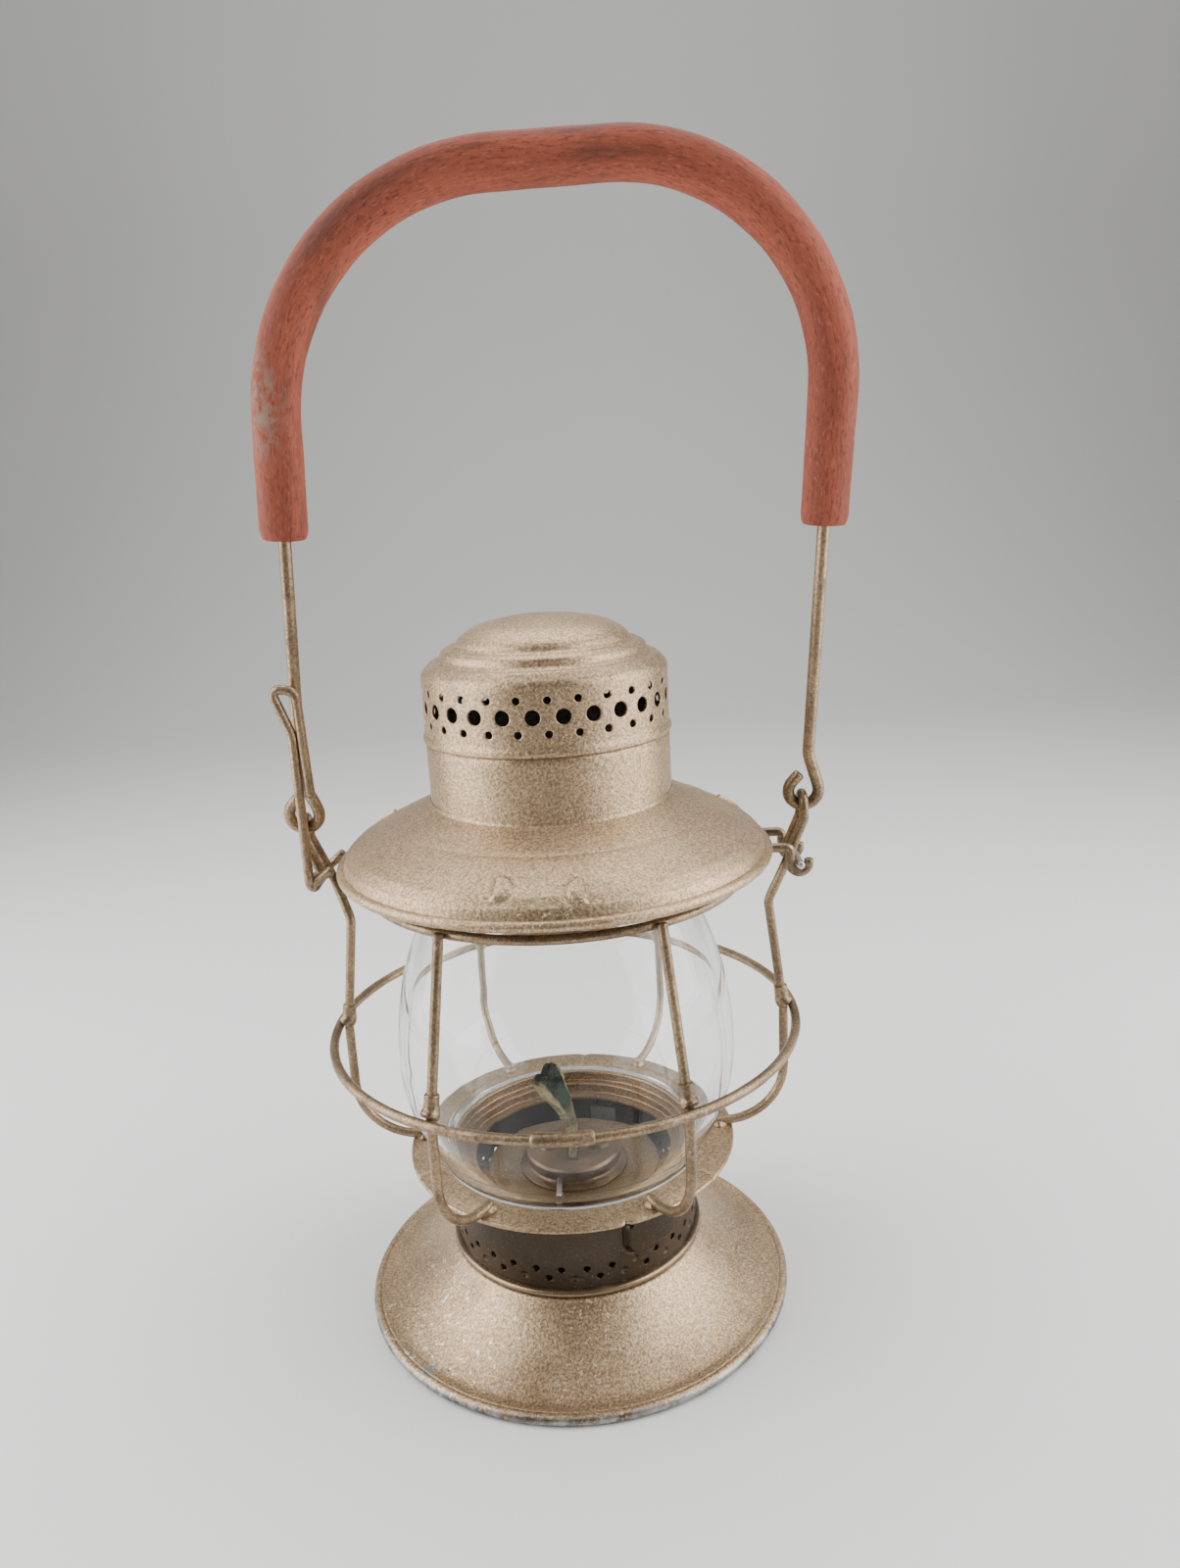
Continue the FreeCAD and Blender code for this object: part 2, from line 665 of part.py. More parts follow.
def hinge_hooks():
    """Two wires from the lid's rim that hook under the hinge pin."""
    pin = hinge_pin_x()
    level = lid_level - hinge_drop
    bend = hinge_pin_d / 2 + running_gap + wire_r
    hooks = []
    for side in (-1, 1):
        y = side * hook_offset
        route = [V(rim_x(hook_offset - wire_r) + solder_gap, y, lid_level), V(pin - bend, y, lid_level),
                 V(pin - bend, y, level - bend), V(pin + bend, y, level - bend),
                 V(pin + bend, y, level + hook_tail)]
        hooks.append(bent_wire(route, [wire_r, bend, bend], guard_wire))
    return Part.makeCompound(hooks)


def latch_wire():
    """Spring latch: a bar under the rim, a toe at each end and a front leg with a finger loop."""
    bar = latch_bar_x()
    level = lid_level - latch_drop
    toe = -(rim_x(latch_offset - wire_r) + wire_r)
    front = -latch_offset
    loop = level + latch_leg
    out = bar - latch_loop_out
    back = bar + latch_loop_back
    top = loop + latch_loop_height
    route = [V(toe, latch_offset, lid_level), V(bar, latch_offset, level), V(bar, front, level),
             V(bar, front, loop), V(out, front, top), V(back, front, top), V(back, front, loop - latch_tail)]
    bends = [latch_bend, latch_bend, 2 * latch_bend, wire_r + solder_gap, wire_r + solder_gap]
    front_toe = bent_wire([V(toe, front, lid_level), V(bar, front + latch_bend / 3, level + latch_bend / 3)],
                          [], guard_wire)
    return join([bent_wire(route, bends, guard_wire), front_toe])


def bail_point(across, up):
    """A point of the bail's plane, which leans to the front about the eyes."""
    lean = math.radians(bail_lean)
    return V(across, -up * math.sin(lean), bail_axis + up * math.cos(lean))


def bail_route(left_end, right_end):
    """The bail's bent line between two points of its legs."""
    corners = [left_end, bail_left_shoulder, bail_right_shoulder, right_end]
    return bent_path([bail_point(*corner) for corner in corners], [bail_left_bend, bail_right_bend])


def leg_foot(side):
    """Where a leg of the bail meets the top of its eye."""
    shift = right_leg_shift if side > 0 else 0
    return (side * ear_reach + shift, eye_radius + math.sqrt(eye_radius ** 2 - shift ** 2))


def leg_at(foot, shoulder, height):
    """The point of a leg's straight line at a height above the eyes."""
    share = (height - foot[1]) / (shoulder[1] - foot[1])
    return (foot[0] + (shoulder[0] - foot[0]) * share, height)


def bail():
    """One bent wire that ends in a ring eye on each ear."""
    lean = math.radians(bail_lean)
    square = V(0, math.cos(lean), math.sin(lean))
    eyes = [Part.makeTorus(eye_radius, bail_r, bail_point(side * ear_reach, eye_radius), square)
            for side in (-1, 1)]
    return join([sweep(bail_route(leg_foot(-1), leg_foot(1)), bail_r)] + eyes)


def grip():
    """Rubber hose over the bail, with a bore that takes the wire."""
    left = leg_at(leg_foot(-1), bail_left_shoulder, grip_left_end)
    right = leg_at(leg_foot(1), bail_right_shoulder, grip_right_end)
    route = bail_route(left, right)
    return sweep(route, grip_d / 2).cut(sweep(route, bail_r + grip_room))


NODES = {
    "bell_base": bell_base,
    "bayonet_collar": bayonet_collar,
    "fount_tank": fount_tank,
    "fount_collar": fount_collar,
    "burner_body": burner_body,
    "burner_cap": burner_cap,
    "wick_tube": wick_tube,
    "wick": wick,
    "wick_spindle": wick_spindle,
    "wick_sprockets": wick_sprockets,
    "neck_drum": neck_drum,
    "gallery_ring": gallery_ring,
    "globe": globe,
    "guard_ring": lambda: ring_of_wire(ring_radius, guard_wire, guard_level),
    "ring_joint": ring_joint,
    "guard_upright_rear_right": lambda: guard_upright(60),
    "guard_upright_rear_left": lambda: guard_upright(120),
    "guard_upright_front_left": lambda: guard_upright(240),
    "guard_upright_front_right": lambda: guard_upright(300),
    "right_ear_upright": lambda: ear_upright(0),
    "left_ear_upright": lambda: ear_upright(180),
    "guard_clips": guard_clips,
    "guard_top_ring": guard_top_ring,
    "hinge_pin": hinge_pin,
    "latch_sleeve": latch_sleeve,
    "hood_brim": hood_brim,
    "chimney_drum": chimney_drum,
    "vented_cap": vented_cap,
    "globe_seat_ring": globe_seat_ring,
    "hinge_hooks": hinge_hooks,
    "latch_wire": latch_wire,
    "bail": bail,
    "grip": grip,
}

os.makedirs("parts", exist_ok=True)
for name, make in NODES.items():
    shape = make()
    if not shape.isValid():
        raise ValueError(name + " is not a valid solid")
    shape.exportStep("parts/" + name + ".step")
    print(name, "solids", len(shape.Solids), "volume", round(shape.Volume, 1))
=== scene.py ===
import math

import bmesh
import bpy
import numpy as np
from mathutils import Matrix, Vector


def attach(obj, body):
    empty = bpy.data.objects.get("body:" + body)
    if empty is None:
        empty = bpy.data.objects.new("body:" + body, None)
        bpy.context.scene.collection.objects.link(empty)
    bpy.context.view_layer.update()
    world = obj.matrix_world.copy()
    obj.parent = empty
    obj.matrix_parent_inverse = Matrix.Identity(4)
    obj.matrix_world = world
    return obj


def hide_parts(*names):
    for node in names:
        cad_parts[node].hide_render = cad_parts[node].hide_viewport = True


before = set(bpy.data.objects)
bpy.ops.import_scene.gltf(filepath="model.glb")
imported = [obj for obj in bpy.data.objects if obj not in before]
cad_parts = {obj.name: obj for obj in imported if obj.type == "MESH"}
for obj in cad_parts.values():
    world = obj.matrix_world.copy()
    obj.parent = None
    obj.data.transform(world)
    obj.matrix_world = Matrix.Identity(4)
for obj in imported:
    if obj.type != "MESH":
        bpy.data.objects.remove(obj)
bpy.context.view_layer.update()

bl_info = {
    "name": "Oil hand lantern",
    "version": (1, 0, 0),
    "blender": (4, 5, 0),
    "location": "3D View > Sidebar > Lantern",
    "description": "Dresses the solids of an oil hand lantern with worn sheet metal, wire, glass and hose",
    "category": "Object",
}

MM = 0.001

# Distance within which points are joined, and how far the floor lies below the foot, in metres
WELD = 2e-6
FLOOR_DROP = 0.0003

# Levels and radii that the solids fix, in millimetres
NECK_FOOT = 19.3
GALLERY_TOP = 50.3
GUARD_LEVEL = 90.3
GUARD_RADIUS = 67.4
RING_RADIUS = 70.3
LID_LEVEL = 144.0
LID_RIM = 64.1
CAP_FOOT = 180.0
BAIL_AXIS = 154.5
EAR_REACH = 73.5
EAR_LOOP = 3.4
EAR_KNEE = LID_LEVEL - 7.0
EAR_SHANK = BAIL_AXIS - 3.5
KNEE_REACH = 67.7
EYE_RADIUS = 4.4
SHEET = 0.8
BAIL_LEAN = math.radians(6.0)
UP = (0, 0, 1)

# The camera that fits the photograph: place in metres, turns in degrees, focal length in its pixels
CAMERA_PLACE = (0.0169, -0.3230, 0.2456)
CAMERA_YAW, CAMERA_PITCH, CAMERA_ROLL = -0.98, 14.21, -3.02
FOCAL_PIXELS, PHOTO_HEIGHT, SENSOR_WIDTH = 1156.0, 1600.0, 36.0

# Colours of wear in the bronze paint, and of soot and painted shade
STAIN = (0.115, 0.070, 0.040)
GRIT = (0.80, 0.69, 0.53, 1.0)
PIT = (0.075, 0.052, 0.036, 1.0)
BARE_DARK = (0.095, 0.090, 0.080, 1.0)
BARE_PALE = (0.375, 0.365, 0.340, 1.0)
# Black of soot and painted shade inside the cap, drum and neck
SOOT_AND_SHADE_BLACK = (0.012, 0.010, 0.009, 1.0)
# Dark of the painted shade in pressed lines
PRESSED_SHADE_DARK = (0.030, 0.021, 0.015, 1.0)


class Shade:
    """A shader socket that takes part in Python sums; each operator adds one Math node."""

    def __init__(self, tree, socket):
        self.tree = tree
        self.socket = socket

    def math(self, operation, first, second=None, clamp=False):
        """One Math node with that operation, fed by values or sockets."""
        made = self.tree.nodes.new("ShaderNodeMath")
        made.operation = operation
        made.use_clamp = clamp
        for slot, value in zip(made.inputs, (first, second)):
            plug(self.tree, slot, value)
        return Shade(self.tree, made.outputs[0])

    def __add__(self, other):
        return self.math("ADD", self, other)

    def __radd__(self, other):
        return self.math("ADD", other, self)

    def __sub__(self, other):
        return self.math("SUBTRACT", self, other)

    def __rsub__(self, other):
        return self.math("SUBTRACT", other, self)

    def __mul__(self, other):
        return self.math("MULTIPLY", self, other)

    def __rmul__(self, other):
        return self.math("MULTIPLY", other, self)

    def __pow__(self, other):
        return self.math("POWER", self, other)

    def clamped(self):
        """The same value, held between 0 and 1."""
        return self.math("ADD", self, 0.0, clamp=True)


def plug(tree, slot, value):
    """Link a Shade into a socket, or set the socket's own value."""
    if isinstance(value, Shade):
        tree.links.new(value.socket, slot)
    elif value is not None:
        slot.default_value = value


class Finish:
    """A material in the making: one method adds any node, the others are short ways to common ones."""

    def __init__(self, name):
        self.material = bpy.data.materials.new(name)
        self.material.use_nodes = True
        self.tree = self.material.node_tree
        self.surface = self.tree.nodes["Principled BSDF"]
        self.place = self.node("TexCoord", output="Object")

    def node(self, kind, settings=None, inputs=None, output=0):
        """Any node: its settings first, then the values or links of its sockets."""
        made = self.tree.nodes.new("ShaderNode" + kind)
        for key, value in (settings or {}).items():
            if key == "stops":
                ramp = made.color_ramp
                while len(ramp.elements) < len(value):
                    ramp.elements.new(0.5)
                for element, (position, colour) in zip(ramp.elements, value):
                    element.position = position
                    element.color = colour
            else:
                setattr(made, key, value)
        for key, value in (inputs or {}).items():
            plug(self.tree, made.inputs[key], value)
        return Shade(self.tree, made.outputs[output])

    def set(self, **values):
        """Set or link the surface's sockets; an underscore stands for the space in a socket's name."""
        for key, value in values.items():
            plug(self.tree, self.surface.inputs[key.replace("_", " ")], value)

    def scaled(self, vector, scale):
        """A place stretched along its three axes."""
        return self.node("Mapping", None, {"Vector": vector, "Scale": scale})

    def noise(self, scale, detail=2.0, roughness=0.5, vector=None, distortion=0.0):
        """Cloudy noise over the object's place, or over another vector."""
        return self.node("TexNoise", None, {"Vector": vector or self.place, "Scale": scale, "Detail": detail,
                                            "Roughness": roughness, "Distortion": distortion})

    def step(self, value, low, high):
        """A soft step from 0 at low to 1 at high."""
        return self.node("MapRange", {"interpolation_type": "SMOOTHSTEP"}, {0: value, 1: low, 2: high})

    def mix(self, share, first, second):
        """The first colour, with a share of the second over it."""
        return self.node("Mix", {"data_type": "RGBA"}, {0: share, 6: first, 7: second}, 2)

    def tint(self, share, first, second):
        """The first colour, multiplied by the second as far as the share goes."""
        return self.node("Mix", {"data_type": "RGBA", "blend_type": "MULTIPLY"},
                         {0: share, 6: first, 7: second}, 2)

    def axis(self, index, vector=None):
        """One of the three parts of a place."""
        return self.node("SeparateXYZ", None, {0: vector or self.place}, index)

    def from_axis(self):
        """Distance from the lantern's axis, in metres."""
        x = self.axis(0)
        y = self.axis(1)
        return (x * x + y * y) ** 0.5

    def near(self, point, reach, squeeze=(1, 1, 1)):
        """1 at a point (in millimetres) that fades to 0 at a reach."""
        shifted = self.node("Mapping", {"vector_type": "POINT"}, {
            "Vector": self.place, "Scale": squeeze,
            "Location": [-c * MM * s for c, s in zip(point, squeeze)]})
        length = self.node("VectorMath", {"operation": "LENGTH"}, {0: shifted}, "Value")
        return 1 - self.step(length, 0.35 * reach * MM, reach * MM)

    def bump(self, height, distance, strength=1.0):
        """A normal that leans as a height would."""
        return self.node("Bump", None, {"Strength": strength, "Distance": distance, "Height": height})

    def so_far(self):
        """The colour that is linked to the surface until now."""
        return Shade(self.tree, self.surface.inputs["Base Color"].links[0].from_socket)


def shade_of(values, factor):
    """A colour made lighter or darker by a factor."""
    return (values[0] * factor, values[1] * factor, values[2] * factor, 1.0)


def bronze(factor):
    """The bronze paint's colour, made lighter or darker by a factor."""
    return shade_of(bpy.context.scene.lantern_finish.bronze_colour, factor)


FINISHES = {}


def finish(name):
    """The material of that name, made once."""
    if name not in FINISHES:
        FINISHES[name] = MAKERS[name](Finish(name)).material
    return FINISHES[name]


def sheet_paint(f, brown=0.0, grit=1.0, tone=1.0, gloss=0.0, rim=None, soot=None, groove=None):
    """Metallic paint on sheet: cloudy tone, brown stains, flakes that glint, pale grit and dark pits. rim
    bares the metal near the foot, soot blackens what lies inside a radius and under a height as soot and
    painted shade, and groove names an attribute that darkens pressed lines as painted shade. A gloss hides
    the flakes and smooths the paint."""
    pale = bpy.context.scene.lantern_finish.bronze_colour
    clouds = f.noise(22.0, 3.0, 0.6)
    base = f.mix(f.step(clouds, 0.35, 0.68), bronze(0.84 * tone),
                 shade_of((pale[0], pale[1] * 1.02, pale[2] * 1.04), 1.06 * tone))
    stains = f.step(f.noise(48.0, 5.0, 0.65, distortion=0.6), 0.56 - 0.16 * brown, 0.74 - 0.10 * brown)
    base = f.mix(stains * (0.28 + 0.50 * brown), base, shade_of(STAIN, 0.4 + 0.6 * tone))
    flakes = f.noise(1500.0, 2.0, 0.7)
    flat = min(1.0, 5.0 * gloss)
    base = f.mix(f.step(flakes, 0.36, 0.66),
                 f.tint(1.0, base, (0.56 + 0.40 * flat, 0.54 + 0.42 * flat, 0.52 + 0.44 * flat, 1.0)),
                 f.tint(1.0, base, (1.22 - 0.18 * flat, 1.21 - 0.18 * flat, 1.19 - 0.18 * flat, 1.0)))
    patchy = f.step(f.noise(30.0, 3.0, 0.55), 0.40, 0.70)
    specks = f.step(f.noise(1050.0, 3.0, 0.75), 0.625 - 0.035 * grit, 0.690) * (0.25 + 0.75 * patchy)
    base = f.mix(specks * (0.80 * grit), base, GRIT)
    pits = f.step(f.noise(620.0, 2.0, 0.6), 0.31, 0.25)
    base = f.mix(pits * 0.60, base, PIT)
    metal = 0.80 - specks * 0.35 - stains * 0.25
    rough = 0.345 + 0.15 * clouds + specks * 0.18 - gloss
    if rim is not None:
        ragged = (f.noise(140.0, 4.0, 0.7) - 0.5) * (rim["ragged"] * MM)
        bare = 1 - f.step(f.axis(2) + ragged, rim["low"] * MM, rim["high"] * MM)
        bare = bare * f.step(f.from_axis() + ragged, rim["inner"] * MM, (rim["inner"] + 0.5) * MM)
        bare = bare * f.step(f.noise(420.0, 4.0, 0.7), 0.30, 0.46)
        worn = f.step(f.noise(210.0, 4.0, 0.7), 0.38, 0.62)
        base = f.mix(bare, base, f.mix(worn, BARE_DARK, BARE_PALE))
        metal = metal + bare * 0.12
    if soot is not None:
        # Soot and painted shade: inside the radius and under the height the paint turns black, dull and rough
        inside = (1 - f.step(f.from_axis(), (soot[0] - 0.1) * MM, (soot[0] + 0.1) * MM))
        inside = inside * (1 - f.step(f.axis(2), (soot[1] - 0.2) * MM, (soot[1] + 0.2) * MM))
        base = f.mix(inside * 0.96, base, SOOT_AND_SHADE_BLACK)
        metal = metal - inside * 0.8
        rough = rough + inside * 0.45
    if groove is not None:
        # Painted shade: the pressed lines are darkened, and made a little rougher
        line = f.node("Attribute", {"attribute_name": groove}, None, "Fac")
        base = f.mix((line * 0.8).clamped(), base, PRESSED_SHADE_DARK)
        rough = rough + line * 0.2
    f.set(Base_Color=base, Metallic=metal.clamped(), Roughness=rough.clamped(), Specular_IOR_Level=0.5)
    peel = f.noise(780.0, 2.0, 0.55)
    f.set(Normal=f.bump(flakes * 0.45 + peel * 0.60 + specks * 0.5 - pits * 0.4, 0.00026, 0.62 - 2.2 * gloss))
    return f


def base_paint(f):
    """Bell base: gritty paint, a bare rim, flecks and a chip at the left, a smudge in front and a scratch at
    the right."""
    sheet_paint(f, brown=0.12, grit=1.15, rim={"low": 2.25, "high": 2.75, "ragged": 1.1, "inner": 65.2})
    chip = f.near((-43.6, -46.5, 4.0), 3.2, (1.0, 1.0, 0.6)) * f.step(f.noise(330.0, 3.0, 0.6), 0.36, 0.5)
    scratch = f.near((37.0, -43.0, 5.5), 2.8, (2.6, 0.8, 0.8)) * f.step(f.noise(500.0, 2.0), 0.45, 0.55)
    flank = f.near((-40.0, -34.0, 10.0), 34.0) + 0.25
    flecks = f.step(f.noise(560.0, 3.0, 0.65), 0.610, 0.660) * flank.clamped()
    shown = f.mix(flecks * 0.8, f.so_far(), (0.86, 0.79, 0.67, 1.0))
    smudge = f.near((-13.0, -54.8, 5.0), 10.0) * f.step(f.noise(70.0, 3.0, 0.6), 0.30, 0.62)
    shown = f.tint(smudge * 0.75, shown, (0.52, 0.48, 0.44, 1.0))
    shown = f.mix(chip, shown, f.mix(f.noise(600.0), (0.16, 0.17, 0.16, 1.0), (0.46, 0.47, 0.45, 1.0)))
    f.set(Base_Color=f.mix(scratch * 0.8, shown, (0.80, 0.76, 0.70, 1.0)))
    return f


def neck_paint(f):
    """Neck: darker than the rest as painted shade, browner, rubbed smooth, black inside with soot and painted
    shade, and a paler rolled foot.
    """
    # tone darkens the whole neck as painted shade, and soot blackens its inside as soot and painted shade
    sheet_paint(f, brown=0.35, grit=0.20, tone=0.100, gloss=0.15, soot=(37.72, 60.0), groove="pressed_line")
    # The rolled foot is left paler than the painted shade over the rest of the neck
    ragged = (f.noise(150.0, 3.0) - 0.5) * 0.0006
    foot = 1 - f.step(f.axis(2) + ragged, (NECK_FOOT + 1.7) * MM, (NECK_FOOT + 2.4) * MM)
    foot = foot * f.step(f.from_axis(), 37.8 * MM, 38.0 * MM)
    f.set(Base_Color=f.mix(foot * 0.85, f.so_far(), bronze(0.60)))
    return f


def inner_paint(f):
    """Pieces inside the lantern: dull brown paint."""
    return sheet_paint(f, brown=0.55, grit=0.25, tone=0.46)


def gallery_paint(f):
    """Gallery: the sheet paint, with painted shade, darker and browner, down in its well."""
    sheet_paint(f, brown=0.15, grit=0.55, tone=0.92)
    # Painted shade: the well round the burner is darkened and browned
    well = 1 - f.step(f.from_axis() + (f.noise(90.0, 3.0) - 0.5) * 0.002, 0.0368, 0.0392)
    f.set(Base_Color=f.tint(well * 0.9, f.so_far(), (0.46, 0.40, 0.35, 1.0)))
    return f


def lid_paint(f):
    """Brim: gritty paint, with painted shade in its pressed lines."""
    return sheet_paint(f, brown=0.06, grit=0.85, groove="pressed_line")


def cap_paint(f):
    """Cap: the roughest of the paint outside, soot and painted shade inside."""
    return sheet_paint(f, brown=0.0, grit=1.15, soot=(34.85, 199.6))


def drum_paint(f):
    """Drum: gritty paint outside, soot and painted shade inside."""
    return sheet_paint(f, brown=0.02, grit=1.05, soot=(34.75, 190.0))


def wire_paint(f):
    """Painted wire: the same bronze, with brown bare lengths, pale rubbed lengths and lumps in the paint."""
    long_noise = f.noise(55.0, 4.0, 0.65)
    base = f.mix(f.step(long_noise, 0.34, 0.64), bronze(0.40), bronze(0.68))
    stains = f.step(f.noise(120.0, 5.0, 0.7, distortion=0.8), 0.53, 0.70)
    base = f.mix(stains * 0.66, base, (0.095, 0.056, 0.032, 1.0))
    rubbed = f.step(f.noise(260.0, 4.0, 0.7), 0.60, 0.72)
    base = f.mix(rubbed * 0.5, base, (0.70, 0.62, 0.50, 1.0))
    grain = f.noise(1600.0, 2.0, 0.6)
    base = f.mix(f.step(grain, 0.36, 0.64), f.tint(1.0, base, (0.64, 0.62, 0.60, 1.0)),
                 f.tint(1.0, base, (1.16, 1.15, 1.14, 1.0)))
    f.set(Base_Color=base, Metallic=(0.78 - stains * 0.40).clamped(),
          Roughness=(0.34 + stains * 0.24 + long_noise * 0.10).clamped())
    f.set(Normal=f.bump(f.noise(420.0, 3.0, 0.6) * 0.8 + grain * 0.25, 0.00030, 0.5))
    return f


def dull_tin(f):
    """Bare tinplate gone dull: grey with brown freckles."""
    clouds = f.noise(60.0, 4.0, 0.6)
    base = f.mix(clouds, (0.20, 0.185, 0.165, 1.0), (0.42, 0.40, 0.37, 1.0))
    freckles = f.step(f.noise(260.0, 4.0, 0.7), 0.56, 0.68)
    base = f.mix(freckles * 0.7, base, (0.11, 0.065, 0.035, 1.0))
    f.set(Base_Color=base, Metallic=(0.85 - freckles * 0.6).clamped(),
          Roughness=(0.36 + clouds * 0.25).clamped())
    f.set(Normal=f.bump(f.noise(700.0, 3.0, 0.6), 0.00012, 0.4))
    return f


def burner_metal(f):
    """Burner: the same paint worn thin over brass, brown with heat, with pale rubbed edges."""
    clouds = f.noise(70.0, 4.0, 0.6)
    base = f.mix(f.step(clouds, 0.35, 0.66), (0.080, 0.049, 0.027, 1.0), (0.155, 0.100, 0.058, 1.0))
    soot = f.step(f.noise(150.0, 4.0, 0.7), 0.50, 0.72)
    base = f.mix(soot * 0.65, base, (0.050, 0.036, 0.025, 1.0))
    rubbed = f.step(f.noise(380.0, 3.0, 0.7), 0.60, 0.72)
    base = f.mix(rubbed * 0.35, base, (0.36, 0.26, 0.17, 1.0))
    f.set(Base_Color=base, Metallic=(0.75 - soot * 0.5).clamped(), Roughness=(0.34 + soot * 0.3).clamped())
    f.set(Normal=f.bump(f.noise(800.0, 3.0, 0.6), 0.00016, 0.5))
    return f


def bare_steel(f):
    """Small turned steel parts: bright and cloudy, with brown freckles."""
    clouds = f.noise(220.0, 4.0, 0.6)
    base = f.mix(clouds, (0.34, 0.335, 0.32, 1.0), (0.66, 0.65, 0.62, 1.0))
    freckles = f.step(f.noise(600.0, 4.0, 0.7), 0.58, 0.68)
    base = f.mix(freckles * 0.6, base, (0.16, 0.10, 0.06, 1.0))
    f.set(Base_Color=base, Metallic=(0.95 - freckles * 0.5).clamped(),
          Roughness=(0.26 + clouds * 0.22).clamped())
    f.set(Normal=f.bump(f.noise(900.0, 2.0), 0.00008, 0.4))
    return f


def hose_rubber(f):
    """Old rubber hose: brick red with darker streaks along it, pale chalk, grime, dark spots and a grey worn
    patch. The streaks read the hose's own place: along the hose, then the two sides of its section."""
    red = bpy.context.scene.lantern_finish.hose_colour
    along = f.node("Attribute", {"attribute_name": "hose_place"}, None, "Vector")
    streaks = f.noise(1.0, 4.0, 0.65, f.scaled(along, (400.0, 1700.0, 1700.0)))
    broad = f.noise(1.0, 3.0, 0.55, f.scaled(along, (16.0, 150.0, 150.0)))
    base = f.mix(f.step(broad, 0.30, 0.72), shade_of(red, 0.64), shade_of(red, 1.10))
    base = f.mix(f.step(streaks, 0.47, 0.68) * 0.75, base, shade_of(red, 0.38))
    chalk = f.step(f.noise(1.0, 4.0, 0.7, f.scaled(along, (520.0, 1500.0, 1500.0))), 0.53, 0.72)
    base = f.mix(chalk * 0.34, base, (0.46, 0.21, 0.15, 1.0))
    grime = f.step(f.noise(1.0, 5.0, 0.7, f.scaled(along, (22.0, 105.0, 105.0))), 0.52, 0.74)
    base = f.mix(grime * 0.75, base, (0.080, 0.034, 0.025, 1.0))
    spots = f.step(f.noise(520.0, 4.0, 0.75), 0.585, 0.660) * f.step(f.noise(26.0, 3.0), 0.44, 0.66)
    base = f.mix(spots * 0.70, base, (0.050, 0.026, 0.020, 1.0))
    worn = f.near((-68.0, -17.5, 273.0), 8.0, (1.0, 1.0, 0.45)) * f.step(f.noise(260.0, 4.0, 0.7), 0.40, 0.60)
    base = f.mix(worn * 0.70, base, (0.23, 0.190, 0.150, 1.0))
    f.set(Base_Color=base, Roughness=(0.66 + chalk * 0.16 - grime * 0.10).clamped(), Specular_IOR_Level=0.16)
    fine = f.noise(1.0, 3.0, 0.6, f.scaled(along, (420.0, 1500.0, 1500.0)))
    f.set(Normal=f.bump(streaks * 0.6 + fine * 0.5, 0.00022, 0.55))
    return f


def globe_glass(f):
    """Clear blown glass with a thin dry film of dust and fine specks. Its index is lower than real glass has,
    which keeps the lights' reflections as faint as in the photograph."""
    tint = bpy.context.scene.lantern_finish.glass_colour
    film = f.step(f.noise(30.0, 4.0, 0.6), 0.52, 0.82)
    specks = f.step(f.noise(900.0, 2.0, 0.7), 0.70, 0.76)
    f.set(Base_Color=f.mix(specks * 0.5, shade_of(tint, 1.0), (0.72, 0.70, 0.66, 1.0)), IOR=1.28,
          Transmission_Weight=1.0, Roughness=(film * 0.010 + specks * 0.10).clamped())
    f.set(Normal=f.bump(f.noise(14.0, 1.0, 0.4), 0.0012, 0.22))
    return f


def wick_cotton(f):
    """Flat woven wick: an olive strip with pale frayed edges, a dark green head and a charred tip. Its own
    place holds the share of its half width (times a centimetre), the way along it and its thickness."""
    place = f.node("Attribute", {"attribute_name": "wick_place"}, None, "Vector")
    across = f.axis(0, place)
    along = f.axis(1, place)
    ribs = f.node("TexWave", {"wave_type": "BANDS", "bands_direction": "X"}, {
        "Vector": place, "Scale": 190.0, "Distortion": 1.2, "Detail": 2.0})
    picks = f.node("TexWave", {"wave_type": "BANDS", "bands_direction": "Y"}, {
        "Vector": place, "Scale": 260.0, "Distortion": 1.6, "Detail": 2.0})
    clouds = f.noise(240.0, 4.0, 0.65)
    strip = f.mix(f.step(clouds, 0.35, 0.65), (0.022, 0.019, 0.009, 1.0), (0.095, 0.078, 0.036, 1.0))
    head = f.step(along + (clouds - 0.5) * 0.006, 0.0430, 0.0470)
    green = f.mix(f.step(clouds, 0.40, 0.62), (0.003, 0.006, 0.004, 1.0), (0.010, 0.020, 0.012, 1.0))
    base = f.mix(head, strip, green)
    edge = f.step((across * across) ** 0.5 + (clouds - 0.5) * 0.003, 0.0058, 0.0078) * (0.22 + 0.70 * head)
    base = f.mix(edge, base, f.mix(clouds, (0.11, 0.088, 0.042, 1.0), (0.24, 0.20, 0.105, 1.0)))
    char = f.step(along + (clouds - 0.5) * 0.006, 0.0570, 0.0600)
    base = f.mix(char * 0.85, base, (0.016, 0.014, 0.012, 1.0))
    f.set(Base_Color=base, Roughness=0.92, Specular_IOR_Level=0.2)
    f.set(Normal=f.bump(ribs * 0.6 + picks * 0.5 + clouds * 0.4, 0.0004, 0.8))
    return f


def floor_card(f):
    """Plain pale card with a barely visible tooth."""
    shade = bpy.context.scene.lantern_stage.floor_colour
    clouds = f.noise(3.0, 3.0, 0.5)
    f.set(Base_Color=f.mix(clouds, shade_of(shade, 0.97), shade_of(shade, 1.02)), Roughness=0.72,
          Specular_IOR_Level=0.25)
    return f


MAKERS = {maker.__name__: maker for maker in (
    base_paint, neck_paint, inner_paint, gallery_paint, lid_paint, cap_paint, drum_paint, wire_paint,
    dull_tin, burner_metal, bare_steel, hose_rubber, globe_glass, wick_cotton, floor_card)}


